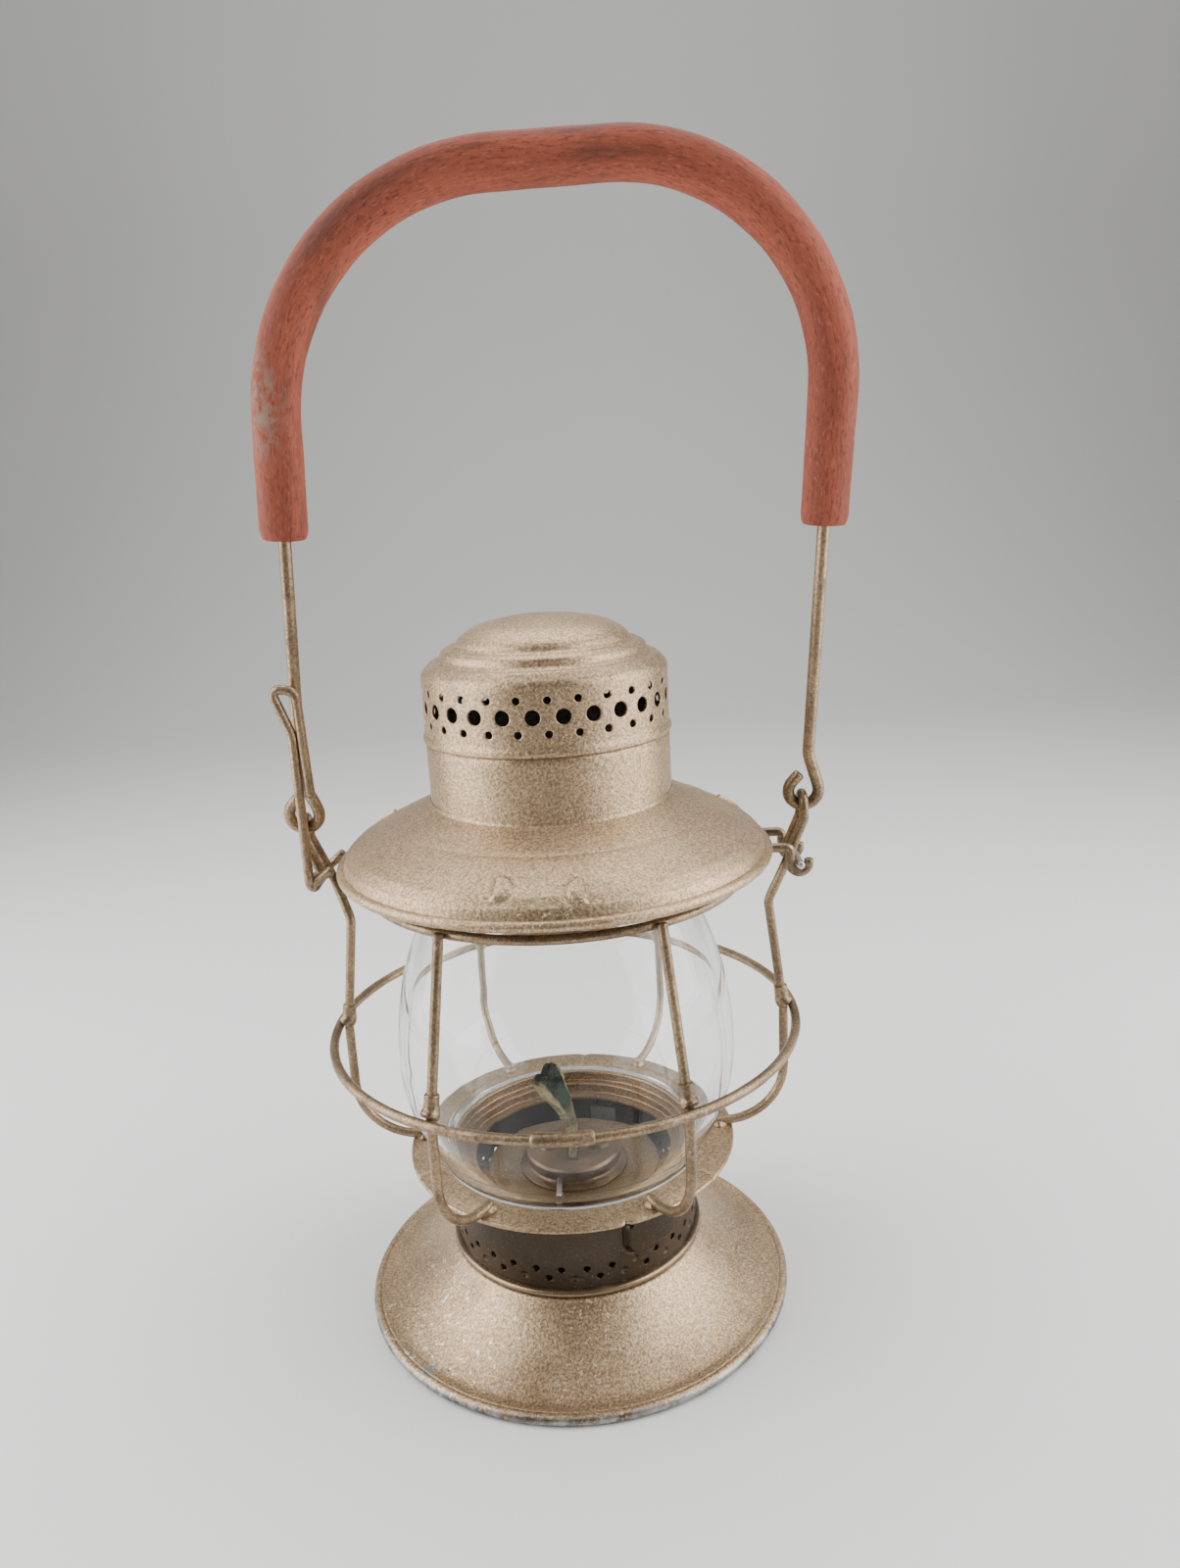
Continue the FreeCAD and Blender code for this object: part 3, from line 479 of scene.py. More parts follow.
def rounded(corners, bends, steps=8):
    """Straight runs joined by tangent arcs. At each inner corner the arc's centre lies on the bisector, and
    the arc is the turn from one tangent point to the other."""
    corners = np.asarray(corners, float)
    bends = np.broadcast_to(bends, (len(corners) - 2,))
    out = [corners[:1]]
    for before, corner, after, bend in zip(corners, corners[1:], corners[2:], bends):
        back = (before - corner) / np.linalg.norm(before - corner)
        ahead = (after - corner) / np.linalg.norm(after - corner)
        half = 0.5 * math.acos(float(np.clip(back @ ahead, -1.0, 1.0)))
        if bend <= 0 or half > 0.4999 * math.pi:
            out.append(corner[None])
            continue
        middle = (back + ahead) / np.linalg.norm(back + ahead)
        centre = corner + middle * (bend / math.sin(half))
        first = corner + back * (bend / math.tan(half)) - centre
        last = corner + ahead * (bend / math.tan(half)) - centre
        turn = math.pi - 2 * half
        share = np.linspace(0, 1, max(3, int(steps * turn / (0.5 * math.pi)) + 2))[:, None]
        swing = np.sin((1 - share) * turn) * first + np.sin(share * turn) * last
        out.append(centre + swing / math.sin(turn))
    out.append(corners[-1:])
    return np.concatenate(out)


def arc(centre, radius, start, end, steps=24):
    """Points of a circle from one angle to another, in degrees."""
    angle = np.radians(np.linspace(start, end, steps))
    return np.stack([centre[0] + radius * np.cos(angle), centre[1] + radius * np.sin(angle)], 1)


def arc_through(first, middle, last, steps=32):
    """Points of the circle through three points, from the first to the last. Its centre is as far from each
    of the three, which gives two equations in its two coordinates."""
    ax, ay = first
    bx, by = middle
    cx, cy = last
    aa, bb, cc = ax * ax + ay * ay, bx * bx + by * by, cx * cx + cy * cy
    d = 2 * (ax * (by - cy) + bx * (cy - ay) + cx * (ay - by))
    ux = (aa * (by - cy) + bb * (cy - ay) + cc * (ay - by)) / d
    uy = (aa * (cx - bx) + bb * (ax - cx) + cc * (bx - ax)) / d
    angles = np.unwrap([math.atan2(p[1] - uy, p[0] - ux) for p in (first, middle, last)])
    start, end = math.degrees(angles[0]), math.degrees(angles[2])
    return arc((ux, uy), math.hypot(ax - ux, ay - uy), start, end, steps)


def evenly(points, spacing):
    """The same line at even steps along its length."""
    points = np.asarray(points, float)
    keep = np.concatenate([[True], np.linalg.norm(np.diff(points, axis=0), axis=1) > 1e-7])
    points = points[keep]
    run = np.concatenate([[0], np.cumsum(np.linalg.norm(np.diff(points, axis=0), axis=1))])
    at = np.linspace(0, run[-1], max(2, int(round(run[-1] / spacing)) + 1))
    return np.stack([np.interp(at, run, points[:, k]) for k in range(points.shape[1])], 1)


def turned(points, degrees):
    """Points turned about the lantern's axis: x becomes c x - s y and y becomes s x + c y."""
    c, s = math.cos(math.radians(degrees)), math.sin(math.radians(degrees))
    x, y, z = np.moveaxis(np.asarray(points, float), -1, 0)
    return np.stack([c * x - s * y, s * x + c * y, z], -1)


def waver(theta, height, seed):
    """A gentle unevenness of hand-worn sheet, from -1 to 1: a sum of slow waves round and up."""
    total = np.zeros(np.broadcast(theta, height).shape)
    for k in range(1, 6):
        wave = np.sin((k + 1) * theta + seed * 1.7 * k + 0.11 * k * height)
        total = total + wave * np.cos(0.07 * k * height + seed + k) / k
    return total / 2.0


def squared(wave, power):
    """A wave made squarer: its sign times its size to a power below one."""
    return np.sign(wave) * np.abs(wave) ** power


def eased(share):
    """A share from 0 to 1 with a soft start and end: its square times three less twice itself."""
    return share * share * (3 - 2 * share)


def lathe(profile, around, wear=0.0, seed=1.0):
    """A closed profile of (radius, height) carried round the axis: x = r cos t, y = r sin t, z = h, with the
    radius moved by a slow waver."""
    theta = np.linspace(0, 2 * np.pi, around, endpoint=False)[:, None]
    radius, height = profile[None, :, 0], profile[None, :, 1]
    r = radius + wear * waver(theta, height, seed) * np.clip(radius / 8, 0, 1)
    z = np.broadcast_to(height, r.shape)
    return np.stack([r * np.cos(theta), r * np.sin(theta), z], -1)


def level_ring(radius, theta, height):
    """Points of a level circle round the axis: x = r cos t, y = r sin t, z = height."""
    return np.stack([radius * np.cos(theta), radius * np.sin(theta), np.full(len(theta), height)], 1)


def tube(path, radius, side, around, closed=False):
    """A circle carried along a path, square to it. Its first direction is the path's tangent crossed with a
    fixed side vector, the second is the tangent crossed with that. The radius may change along the path."""
    path = np.asarray(path, float)
    if closed:
        tangent = np.roll(path, -1, 0) - np.roll(path, 1, 0)
    else:
        tangent = np.gradient(path, axis=0)
    tangent /= np.linalg.norm(tangent, axis=1, keepdims=True)
    first = np.cross(tangent, np.asarray(side, float))
    first /= np.linalg.norm(first, axis=1, keepdims=True)
    second = np.cross(tangent, first)
    phi = np.linspace(0, 2 * np.pi, around, endpoint=False)
    radius = np.broadcast_to(radius, (len(path),))[:, None, None]
    ring = np.cos(phi)[None, :, None] * first[:, None, :] + np.sin(phi)[None, :, None] * second[:, None, :]
    return path[:, None, :] + radius * ring


def with_ends(path, radius, reach=0.8):
    """A path and its radius with rounded ends: extra stations just inside each end, where the radius grows
    as a quarter circle."""
    path = np.asarray(path, float)
    radius = np.broadcast_to(radius, (len(path),)).astype(float)
    grow = np.array([0.0, 0.12, 0.35, 0.65])
    size = np.sqrt(1 - (1 - np.array([0.06, 0.25, 0.55, 0.85])) ** 2)
    head = path[0] + (path[1] - path[0]) / np.linalg.norm(path[1] - path[0]) * (grow * reach)[:, None]
    tail = path[-1] + (path[-2] - path[-1]) / np.linalg.norm(path[-2] - path[-1]) * (grow * reach)[:, None]
    run_head = np.linalg.norm(path - path[0], axis=1) > 0.8 * reach
    run_tail = np.linalg.norm(path - path[-1], axis=1) > 0.8 * reach
    keep = run_head & run_tail
    return (np.concatenate([head, path[keep], tail[::-1]]),
            np.concatenate([radius[0] * size, radius[keep], radius[-1] * size[::-1]]))


def lumps(count, seed, amount):
    """Small changes of a wire's thickness along its length: a sum of waves of unlike lengths."""
    s = np.arange(count)
    waves = np.sin(0.37 * s + seed) + 0.7 * np.sin(0.83 * s + 2.1 * seed)
    waves = waves + 0.5 * np.sin(1.71 * s + 0.7 * seed)
    return 1 + amount * waves / 2.2


def vent_band(radius, wall, count, phase, low, high, level, hole, blocked=()):
    """A band of sheet with a round hole in each of its cells. A cell's grid runs from its square edge to the
    hole on the outer face, through the hole's rounded edge, and back to the square edge on the inner face.
    A blocked hole is a shallow paint-filled dimple."""
    half = math.pi / count
    side = np.linspace(-1, 1, 9)[:-1]
    ones = np.ones(8)
    square = np.concatenate([np.stack([side, -ones], 1), np.stack([ones, side], 1),
                             np.stack([-side, ones], 1), np.stack([-ones, -side], 1)])
    reach = np.where(square[:, 1] < 0, low - level, high - level)
    edge = np.stack([square[:, 0] * half * radius, reach * np.abs(square[:, 1])], 1)
    upright = np.abs(square[:, 0]) > 0.999
    edge[upright, 1] = (low - level) + (high - low) * 0.5 * (1 + square[upright, 1])
    way = edge / np.linalg.norm(edge, axis=1, keepdims=True)
    # Along each ray: its way from the edge to the hole, the rounding of the hole, and the depth in the wall
    bite = np.array([0.0, 0.34, 0.68, 1.0, 1.0, 1.0, 1.0, 1.0, 1.0, 0.6, 0.0])
    grow = np.array([0.0, 0.0, 0.0, 0.34, 0.12, 0.02, 0.0, 0.0, 0.12, 0.2, 0.0])
    deep = np.array([0.0, 0.0, 0.0, 0.0, 0.05, 0.16, 0.34, 0.62, 0.8, 0.8, 0.8]) / 0.8 * wall
    theta0 = np.radians(phase) + np.arange(count) * 2 * half
    rows = edge[None] * (1 - bite)[:, None, None] + way[None] * ((hole + grow) * bite)[:, None, None]
    theta = theta0[:, None, None] + rows[None, :, :, 0] / radius
    rho = np.broadcast_to((radius - deep)[None, :, None], theta.shape)
    z = np.broadcast_to(level + rows[None, :, :, 1], theta.shape)
    cells = np.stack([rho * np.cos(theta), rho * np.sin(theta), z], -1)
    grids = [Grid(cell, wrap_columns=True) for cell in cells]
    dish = np.linspace(1.0, 0.02, 5)[:, None]
    angle = np.linspace(0, 2 * np.pi, 16, endpoint=False)
    across = (hole + 0.06) * dish * np.cos(angle)
    up = level + (hole + 0.06) * dish * np.sin(angle)
    sunk = radius - 0.10 - 0.28 * (1 - dish ** 2) + 0 * across
    for index in blocked:
        turn = theta0[index] + across / radius
        dimple = np.stack([sunk * np.cos(turn), sunk * np.sin(turn), up], -1)
        grids.append(Grid(dimple, wrap_columns=True, cap_end=True))
    return grids


class Grid:
    """A grid of points in millimetres, with the ways in which it closes on itself."""

    def __init__(self, points, wrap_rows=False, wrap_columns=False, cap_start=False, cap_end=False,
                 closed=False):
        self.points = np.asarray(points, float)
        self.wrap_rows = wrap_rows
        self.wrap_columns = wrap_columns
        self.cap_start = cap_start
        self.cap_end = cap_end
        self.closed = closed or (wrap_rows and wrap_columns) or (wrap_columns and cap_start and cap_end)

    def quads(self):
        """Four point numbers for each face, row by row."""
        rows, columns = self.points.shape[:2]
        i = np.arange(rows if self.wrap_rows else rows - 1)[:, None]
        j = np.arange(columns if self.wrap_columns else columns - 1)[None, :]
        i2 = (i + 1) % rows
        j2 = (j + 1) % columns
        corners = [i * columns + j, i2 * columns + j, i2 * columns + j2, i * columns + j2]
        return np.stack(corners, -1).reshape(-1, 4)

    def outward(self, quads):
        """The quads, turned round where they face inwards: towards the middle of a closed grid, or towards
        the axis in the first row of an open one."""
        flat = self.points.reshape(-1, 3)
        a, b, c, d = (flat[quads[:, k]] for k in range(4))
        normal = np.cross(c - a, d - b)
        middle = (a + b + c + d) / 4
        if self.closed:
            facing = np.sum(normal * (middle - flat.mean(0)))
        else:
            first = slice(0, max(1, len(quads) // (self.points.shape[0] - 1 or 1)))
            facing = np.sum(normal[first] * middle[first] * np.array([1.0, 1.0, 0.0]))
        return quads if facing >= 0 else quads[:, ::-1]


def ring_grid(points):
    """A grid that closes on itself both ways, as a turned piece does."""
    return Grid(points, wrap_rows=True, wrap_columns=True)


def wire_grid(path, radius, side, around=14, closed=False, ends=True):
    """A wire: a tube along the path, with rounded ends where it is open."""
    if closed:
        return ring_grid(tube(path, radius, side, around, True))
    if ends:
        path, radius = with_ends(path, radius)
    return Grid(tube(path, radius, side, around), wrap_columns=True, cap_start=True, cap_end=True)


def make_piece(name, grids, body, material, nodes, places=None, sharp=38.0):
    """Put grids into one mesh object at the origin, join points that meet, and tie it to its body and nodes.
    places names an attribute and holds its value at each point."""
    points, faces, first = [], [], 0
    for grid in grids:
        rows, columns = grid.points.shape[:2]
        quads = grid.outward(grid.quads())
        flipped = not np.array_equal(quads[:1], grid.quads()[:1])
        faces += (quads + first).tolist()
        start = list(range(first, first + columns))
        end = list(range(first + (rows - 1) * columns, first + rows * columns))
        if grid.cap_start:
            faces.append(start[::-1] if flipped else start)
        if grid.cap_end:
            faces.append(end if flipped else end[::-1])
        points.append(grid.points.reshape(-1, 3) * MM)
        first += rows * columns
    mesh = bpy.data.meshes.new(name)
    mesh.from_pydata(np.concatenate(points).tolist(), [], faces)
    if places is not None:
        key, values = places
        values = np.asarray(values, np.float32)
        if values.ndim == 1:
            mesh.attributes.new(key, "FLOAT", "POINT").data.foreach_set("value", values)
        else:
            mesh.attributes.new(key, "FLOAT_VECTOR", "POINT").data.foreach_set("vector", values.ravel())
    work = bmesh.new()
    work.from_mesh(mesh)
    bmesh.ops.remove_doubles(work, verts=work.verts, dist=WELD)
    work.to_mesh(mesh)
    work.free()
    mesh.shade_smooth()
    mesh.set_sharp_from_angle(angle=math.radians(sharp))
    mesh.materials.append(finish(material))
    piece = bpy.data.objects.new(name, mesh)
    bpy.context.scene.collection.objects.link(piece)
    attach(piece, body)
    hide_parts(*nodes)
    return piece


def wire_piece(name, grids, body, node):
    """A piece of painted wire that stands in for one node."""
    return make_piece(name, grids, body, "wire_paint", [node])


class LANTERN_PG_finish(bpy.types.PropertyGroup):
    """Colours of the finishes"""
    bronze_colour: bpy.props.FloatVectorProperty(
        name="Bronze paint", description="Colour of the metallic paint on sheet and wire", subtype="COLOR",
        size=3, min=0.0, max=1.0, default=(0.522, 0.372, 0.226))
    hose_colour: bpy.props.FloatVectorProperty(
        name="Hose", description="Colour of the rubber hose on the bail", subtype="COLOR",
        size=3, min=0.0, max=1.0, default=(0.300, 0.078, 0.046))
    glass_colour: bpy.props.FloatVectorProperty(
        name="Glass", description="Tint of the globe", subtype="COLOR",
        size=3, min=0.0, max=1.0, default=(0.975, 0.988, 0.980))


class LANTERN_PG_form(bpy.types.PropertyGroup):
    """Sizes of the pieces and the fineness of their meshes"""
    around: bpy.props.IntProperty(
        name="Steps round", description="Steps round the axis of the plainer turned pieces", default=288,
        min=48, max=512)
    wire_steps: bpy.props.IntProperty(
        name="Wire sides", description="Sides of the guard, ear, hinge and latch wires", default=14, min=8,
        max=32)
    guard_wire: bpy.props.FloatProperty(
        name="Guard wire", description="Diameter of the guard, ear, hinge and latch wires", unit="LENGTH",
        default=0.0028, min=0.001, max=0.006, precision=4)
    bail_wire: bpy.props.FloatProperty(
        name="Bail wire", description="Diameter of the bail", unit="LENGTH", default=0.0035, min=0.001,
        max=0.008, precision=4)
    hose: bpy.props.FloatProperty(
        name="Hose", description="Outer diameter of the hose on the bail", unit="LENGTH", default=0.013,
        min=0.006, max=0.02, precision=4)
    dents: bpy.props.FloatProperty(
        name="Dents", description="How uneven the sheet metal has become", unit="LENGTH", default=0.00014,
        min=0.0, max=0.0004, precision=5)


class LANTERN_PG_stage(bpy.types.PropertyGroup):
    """Floor and lights"""
    floor_colour: bpy.props.FloatVectorProperty(
        name="Floor", description="Colour of the floor", subtype="COLOR", size=3, min=0.0, max=1.0,
        default=(0.74, 0.735, 0.725))
    side_power: bpy.props.FloatProperty(
        name="Side lights", description="Power of the two side panels", unit="POWER", default=9.0, min=0.0)
    top_power: bpy.props.FloatProperty(
        name="Top light", description="Power of the panel above", unit="POWER", default=7.0, min=0.0)
    back_power: bpy.props.FloatProperty(
        name="Backdrop light", description="Power of the panel that lights the backdrop", unit="POWER",
        default=12.0, min=0.0)


def form():
    """The sizes that the sidebar holds."""
    return bpy.context.scene.lantern_form


def wire_r():
    """Radius of the guard wire, in millimetres."""
    return form().guard_wire / MM / 2


def dents():
    """How far worn sheet wavers, in millimetres."""
    return form().dents / MM


def upright_foot():
    """Route of every upright from its end on the gallery to the ring, in the plane of +X."""
    level = GALLERY_TOP + wire_r() + 0.05
    return [(45.0, 0, level), (GUARD_RADIUS, 0, level), (GUARD_RADIUS, 0, GUARD_LEVEL)]


def ear_leg_x(level):
    """How far out an ear's leg stands at a level, on the straight line from its knee to its shank."""
    return KNEE_REACH + (EAR_REACH - KNEE_REACH) * (level - EAR_KNEE) / (EAR_SHANK - EAR_KNEE)


def painted_wire(route, bends, degrees, side, seed, spacing=0.9):
    """A wire along a route of runs and bends, turned to its place, with lumpy paint."""
    path = evenly(rounded(route, bends, 10), spacing)
    radius = wire_r() * lumps(len(path), seed, 0.018)
    side = turned(np.asarray(side, float), degrees)
    return wire_grid(turned(path, degrees), radius, side, form().wire_steps)


class LANTERN_OT_base(bpy.types.Operator):
    """Bell base: a rolled rim, a level lip and a hollowed flare up to the neck"""
    bl_idname = "lantern.base"
    bl_label = "Bell base"

    def execute(self, context):
        flange = [(36.95, 18.1), (36.95, 18.88), (38.2, 18.9), (39.2, 18.86)]
        flare = arc_through((39.75, 18.55), (49.1, 9.0), (60.6, 3.0), 40)
        lip = rounded([(60.6, 3.0), (62.0, 2.72), (63.5, 2.70), (64.4, 2.80)], [1.6, 1.2], 6)
        bead = arc((65.4, 1.35), 1.6, 122, -57, 30)
        foot = [(66.26, 0.0), (64.54, 0.0)]
        back = arc((65.4, 1.35), 1.6, -123, -160, 6)
        under = arc_through((60.4, 2.1), (48.4, 8.1), (38.9, 17.8), 24)
        profile = np.concatenate([flange, flare, lip[1:], bead, foot, back, [(63.3, 1.9), (62.0, 1.95)],
                                  under, [(38.2, 18.08)]])
        points = lathe(profile, form().around, dents(), 2.0)
        # The dent in front falls off with the square of the distance from its middle
        theta = np.arctan2(points[..., 1], points[..., 0])
        radius = np.hypot(points[..., 0], points[..., 1])
        dent = np.exp(-(((theta + 1.80) / 0.10) ** 2) - (((radius - 56.3) / 3.0) ** 2))
        points[..., 2] -= 0.35 * dent
        make_piece("bell_skin", [ring_grid(points)], "base", "base_paint", ["bell_base"])
        return {"FINISHED"}


class LANTERN_OT_neck(bpy.types.Operator):
    """Neck: two rows of small vents, a rolled foot and three pressed-out pockets"""
    bl_idname = "lantern.neck"
    bl_label = "Vented neck"

    def execute(self, context):
        outer, vents, hole = 38.3, 32, 0.95
        low, middle, high = NECK_FOOT + 3.4, NECK_FOOT + 7.15, NECK_FOOT + 10.2
        grids = vent_band(outer, SHEET, vents, 0.0, low, middle, NECK_FOOT + 5.8, hole, range(0, vents, 2))
        grids += vent_band(outer, SHEET, vents, 180.0 / vents, middle, high, NECK_FOOT + 8.5, hole,
                           (3, 9, 17, 26))
        bead = arc((38.75, NECK_FOOT + 1.0), 1.0, 70, -160, 22)
        foot = np.concatenate([[(outer, low), (outer, NECK_FOOT + 2.2)], bead,
                               [(outer - SHEET, NECK_FOOT + 1.2), (outer - SHEET, low)]])
        grids.append(Grid(lathe(foot, form().around), wrap_rows=True))
        upper = np.concatenate([
            np.stack([np.full(60, outer), np.linspace(45.9, high, 60)], 1),
            np.stack([np.full(30, outer - SHEET), np.linspace(high, 46.2, 30)], 1), [(outer - 0.2, 46.25)]])
        skin = lathe(upper, 720)
        # Pockets: the depth inside a rounded rectangle is its corner's radius less the distance past the
        # corner's centre. The sheet swells over the first part of it, inside a sunk line along the edge.
        theta = np.degrees(np.arctan2(skin[..., 1], skin[..., 0]))
        across = np.radians(np.abs((theta + 53.0 + 60.0) % 120.0 - 60.0)) * outer
        upright = np.abs(skin[..., 2] - (NECK_FOOT + 16.5))
        corner = 3.2
        past_x, past_z = across - (9.1 - corner), upright - (5.7 - corner)
        depth = corner - np.hypot(np.maximum(past_x, 0), np.maximum(past_z, 0))
        depth = depth - np.minimum(np.maximum(past_x, past_z), 0)
        swell = np.clip(depth / 1.3, 0, 1)
        line = np.exp(-((depth + 0.15) / 0.45) ** 2)
        rise = 1.75 * eased(swell) - 0.35 * line
        radius = np.hypot(skin[..., 0], skin[..., 1])
        skin[..., :2] *= ((radius + rise) / radius)[..., None]
        plain = np.zeros(sum(grid.points.shape[0] * grid.points.shape[1] for grid in grids))
        grids.append(ring_grid(skin))
        # The sunk line also darkens the pockets' edges as painted shade
        make_piece("neck_skin", grids, "cage", "neck_paint", ["neck_drum"],
                   places=("pressed_line", np.concatenate([plain, line.ravel()])), sharp=50.0)
        return {"FINISHED"}


class LANTERN_OT_gallery(bpy.types.Operator):
    """Gallery: a level rim with a rolled edge, a notch and three lugs, and two steps down to the air ring"""
    bl_idname = "lantern.gallery"
    bl_label = "Gallery"

    def execute(self, context):
        top = [(49.9, 50.32), (37.75, 50.3), (37.75, 47.1), (34.95, 47.1), (34.95, 43.9), (32.0, 43.9)]
        under = [(32.0, 43.1), (35.75, 43.1), (35.75, 46.3), (38.55, 46.3), (38.55, 49.5), (49.9, 49.45)]
        bead = arc((50.25, 49.55), 0.75, -150, 110, 18)
        profile = np.concatenate([rounded(top, 0.5, 6), rounded(under, 0.4, 6), bead])
        points = lathe(profile, 432, dents() * 0.6, 5.0)
        # Notch and lugs fall off with the square of the angle from their middle, and grow towards the edge
        theta = np.degrees(np.arctan2(points[..., 1], points[..., 0]))
        radius = np.hypot(points[..., 0], points[..., 1])
        notch = np.exp(-((theta + 71.5) / 0.9) ** 2) * np.clip((radius - 47.5) / 2.5, 0, 1)
        points[..., :2] *= (1 - 0.022 * notch)[..., None]
        edge = np.clip((radius - 48.5) / 2.0, 0, 1)
        points[..., 2] -= 0.5 * sum(np.exp(-((theta - at) / 1.4) ** 2) * edge for at in (-34.0, 86.0, -154.0))
        make_piece("gallery_skin", [ring_grid(points)], "cage", "gallery_paint",
                   ["gallery_ring"])
        return {"FINISHED"}


BELLY_LEVEL = 32.0


def belly(end_radius, end_height, widest, steps):
    """Arc that starts upright at the globe's widest place and ends at a given point. Its radius is the sum of
    the squares of the way in and the way up, over twice the way in."""
    deep = widest - end_radius
    rise = end_height - BELLY_LEVEL
    bend = (deep ** 2 + rise ** 2) / (2 * deep)
    up = np.linspace(0, rise, steps)
    return np.stack([widest - bend + np.sqrt(bend ** 2 - up ** 2), BELLY_LEVEL + up], 1)


class LANTERN_OT_globe(bpy.types.Operator):
    """Globe: blown glass with a thick foot, a round belly and a plain collar"""
    bl_idname = "lantern.globe"
    bl_label = "Glass globe"

    def execute(self, context):
        outer = np.concatenate([
            rounded([(41.2, 0.05), (42.2, 0.05), (42.2, 2.4)], 0.7, 6)[:-1], belly(42.2, 2.0, 51.7, 40)[::-1],
            belly(38.3, 82.0, 51.7, 60)[1:],
            rounded([(38.3, 82.0), (36.6, 84.7), (36.4, 87.7), (35.4, 87.7)], [5.0, 0.6], 8)[1:]])
        inner = np.concatenate([
            rounded([(34.6, 87.7), (33.6, 87.7), (33.6, 84.7), (35.5, 82.0)], [0.6, 5.0], 8)[:-1],
            belly(35.5, 82.0, 48.9, 60)[::-1], belly(38.4, 2.0, 48.9, 40)[1:],
            rounded([(38.4, 2.0), (38.4, 0.05), (39.4, 0.05)], 0.7, 6)[1:]])
        profile = np.concatenate([outer, inner])
        profile[:, 1] += GALLERY_TOP
        points = lathe(profile, form().around, 0.10, 7.0)
        globe = make_piece("globe_glass", [ring_grid(points)], "cage", "globe_glass",
                           ["globe"], sharp=60.0)
        globe.visible_shadow = False
        return {"FINISHED"}


class LANTERN_OT_burner(bpy.types.Operator):
    """Burner: the skirt with its flange, the cap with its slot and bosses, the flat tube, and the fount"""
    bl_idname = "lantern.burner"
    bl_label = "Burner and fount"

    def execute(self, context):
        skirt = rounded([(13.1, 38.05), (17.6, 38.05), (17.6, 39.0), (15.2, 39.7), (14.4, 40.2), (14.3, 42.7),
                         (11.0, 42.7), (11.0, 41.9), (13.1, 41.9), (13.1, 38.05)],
                        [0.3, 0.35, 0.5, 0.5, 0.4, 0.1, 0.1, 0.1], 6)[:-1]
        make_piece("burner_skirt", [ring_grid(lathe(skirt, 192))], "base", "burner_metal",
                   ["burner_body"])
        rim = rounded([(15.4, 42.8), (15.4, 44.2), (14.7, 45.0), (13.2, 45.3)], [0.5, 0.6], 6)
        lower = [(13.1, 44.5), (14.5, 44.1), (14.6, 42.8)]
        band = ring_grid(lathe(np.concatenate([rim, lower]), 192))
        # The cap's plate: each ray runs from a circle to the slot, a squared oval; two bosses rise from it
        theta = np.linspace(0, 2 * np.pi, 192, endpoint=False)[:, None]
        share = np.linspace(0, 1, 36)[None, :]
        outer = np.stack([13.25 * np.cos(theta), 13.25 * np.sin(theta)], -1)
        slot = np.stack([2.2 * squared(np.cos(theta), 0.25), 10.25 * squared(np.sin(theta), 0.30)], -1)
        flat = outer * (1 - share)[..., None] + slot * share[..., None]
        boss = sum(np.clip(3.7 - np.hypot(flat[..., 0] - side * 8.0, flat[..., 1] * 0.9), 0, 1)
                   for side in (-1, 1))
        level = (45.3 + 0.25 * np.sin(share * np.pi) + 0.75 * eased(boss))[..., None]
        top = np.concatenate([flat, level], -1)
        low = np.concatenate([flat, level - 0.7], -1)[:, ::-1]
        plate = ring_grid(np.concatenate([top, low], 1))
        make_piece("burner_cap_skin", [band, plate], "base", "burner_metal", ["burner_cap"])
        # The flat tube: a squared oval carried up its outside and down its inside
        ring = np.linspace(0, 2 * np.pi, 48, endpoint=False)
        section = np.stack([squared(np.cos(ring), 0.35), squared(np.sin(ring), 0.35)], 1)
        levels = np.array([30.0, 36.0, 45.4, 45.62, 45.62, 45.4, 30.0])
        half_x = np.array([2.25, 2.25, 2.25, 2.15, 1.85, 1.75, 1.75])
        half_y = np.array([10.15, 10.15, 10.15, 10.05, 9.75, 9.65, 9.65])
        wall = np.stack([half_x[:, None] * section[None, :, 0], half_y[:, None] * section[None, :, 1],
                         np.broadcast_to(levels[:, None], (7, 48))], -1)
        make_piece("wick_sleeve", [ring_grid(wall)], "base", "burner_metal", ["wick_tube"])
        can = rounded([(0.0, 5.05), (34.0, 5.05), (34.0, 16.5), (36.2, 16.5), (36.2, 17.3), (26.0, 17.3),
                       (26.0, 29.0), (28.7, 33.0), (28.7, 38.0), (11.0, 38.0), (11.0, 37.2), (25.2, 37.2),
                       (25.2, 18.1), (25.2, 16.5), (33.2, 16.5), (33.2, 5.85), (0.0, 5.85)],
                      [1.2, 0.2, 0.3, 0.3, 0.6, 1.5, 1.5, 1.1, 0.1, 0.1, 0.3, 0.1, 0.1, 0.3, 0.3], 8)
        make_piece("fount_skin", [ring_grid(lathe(can, form().around))], "base", "inner_paint",
                   ["fount_tank"])
        return {"FINISHED"}


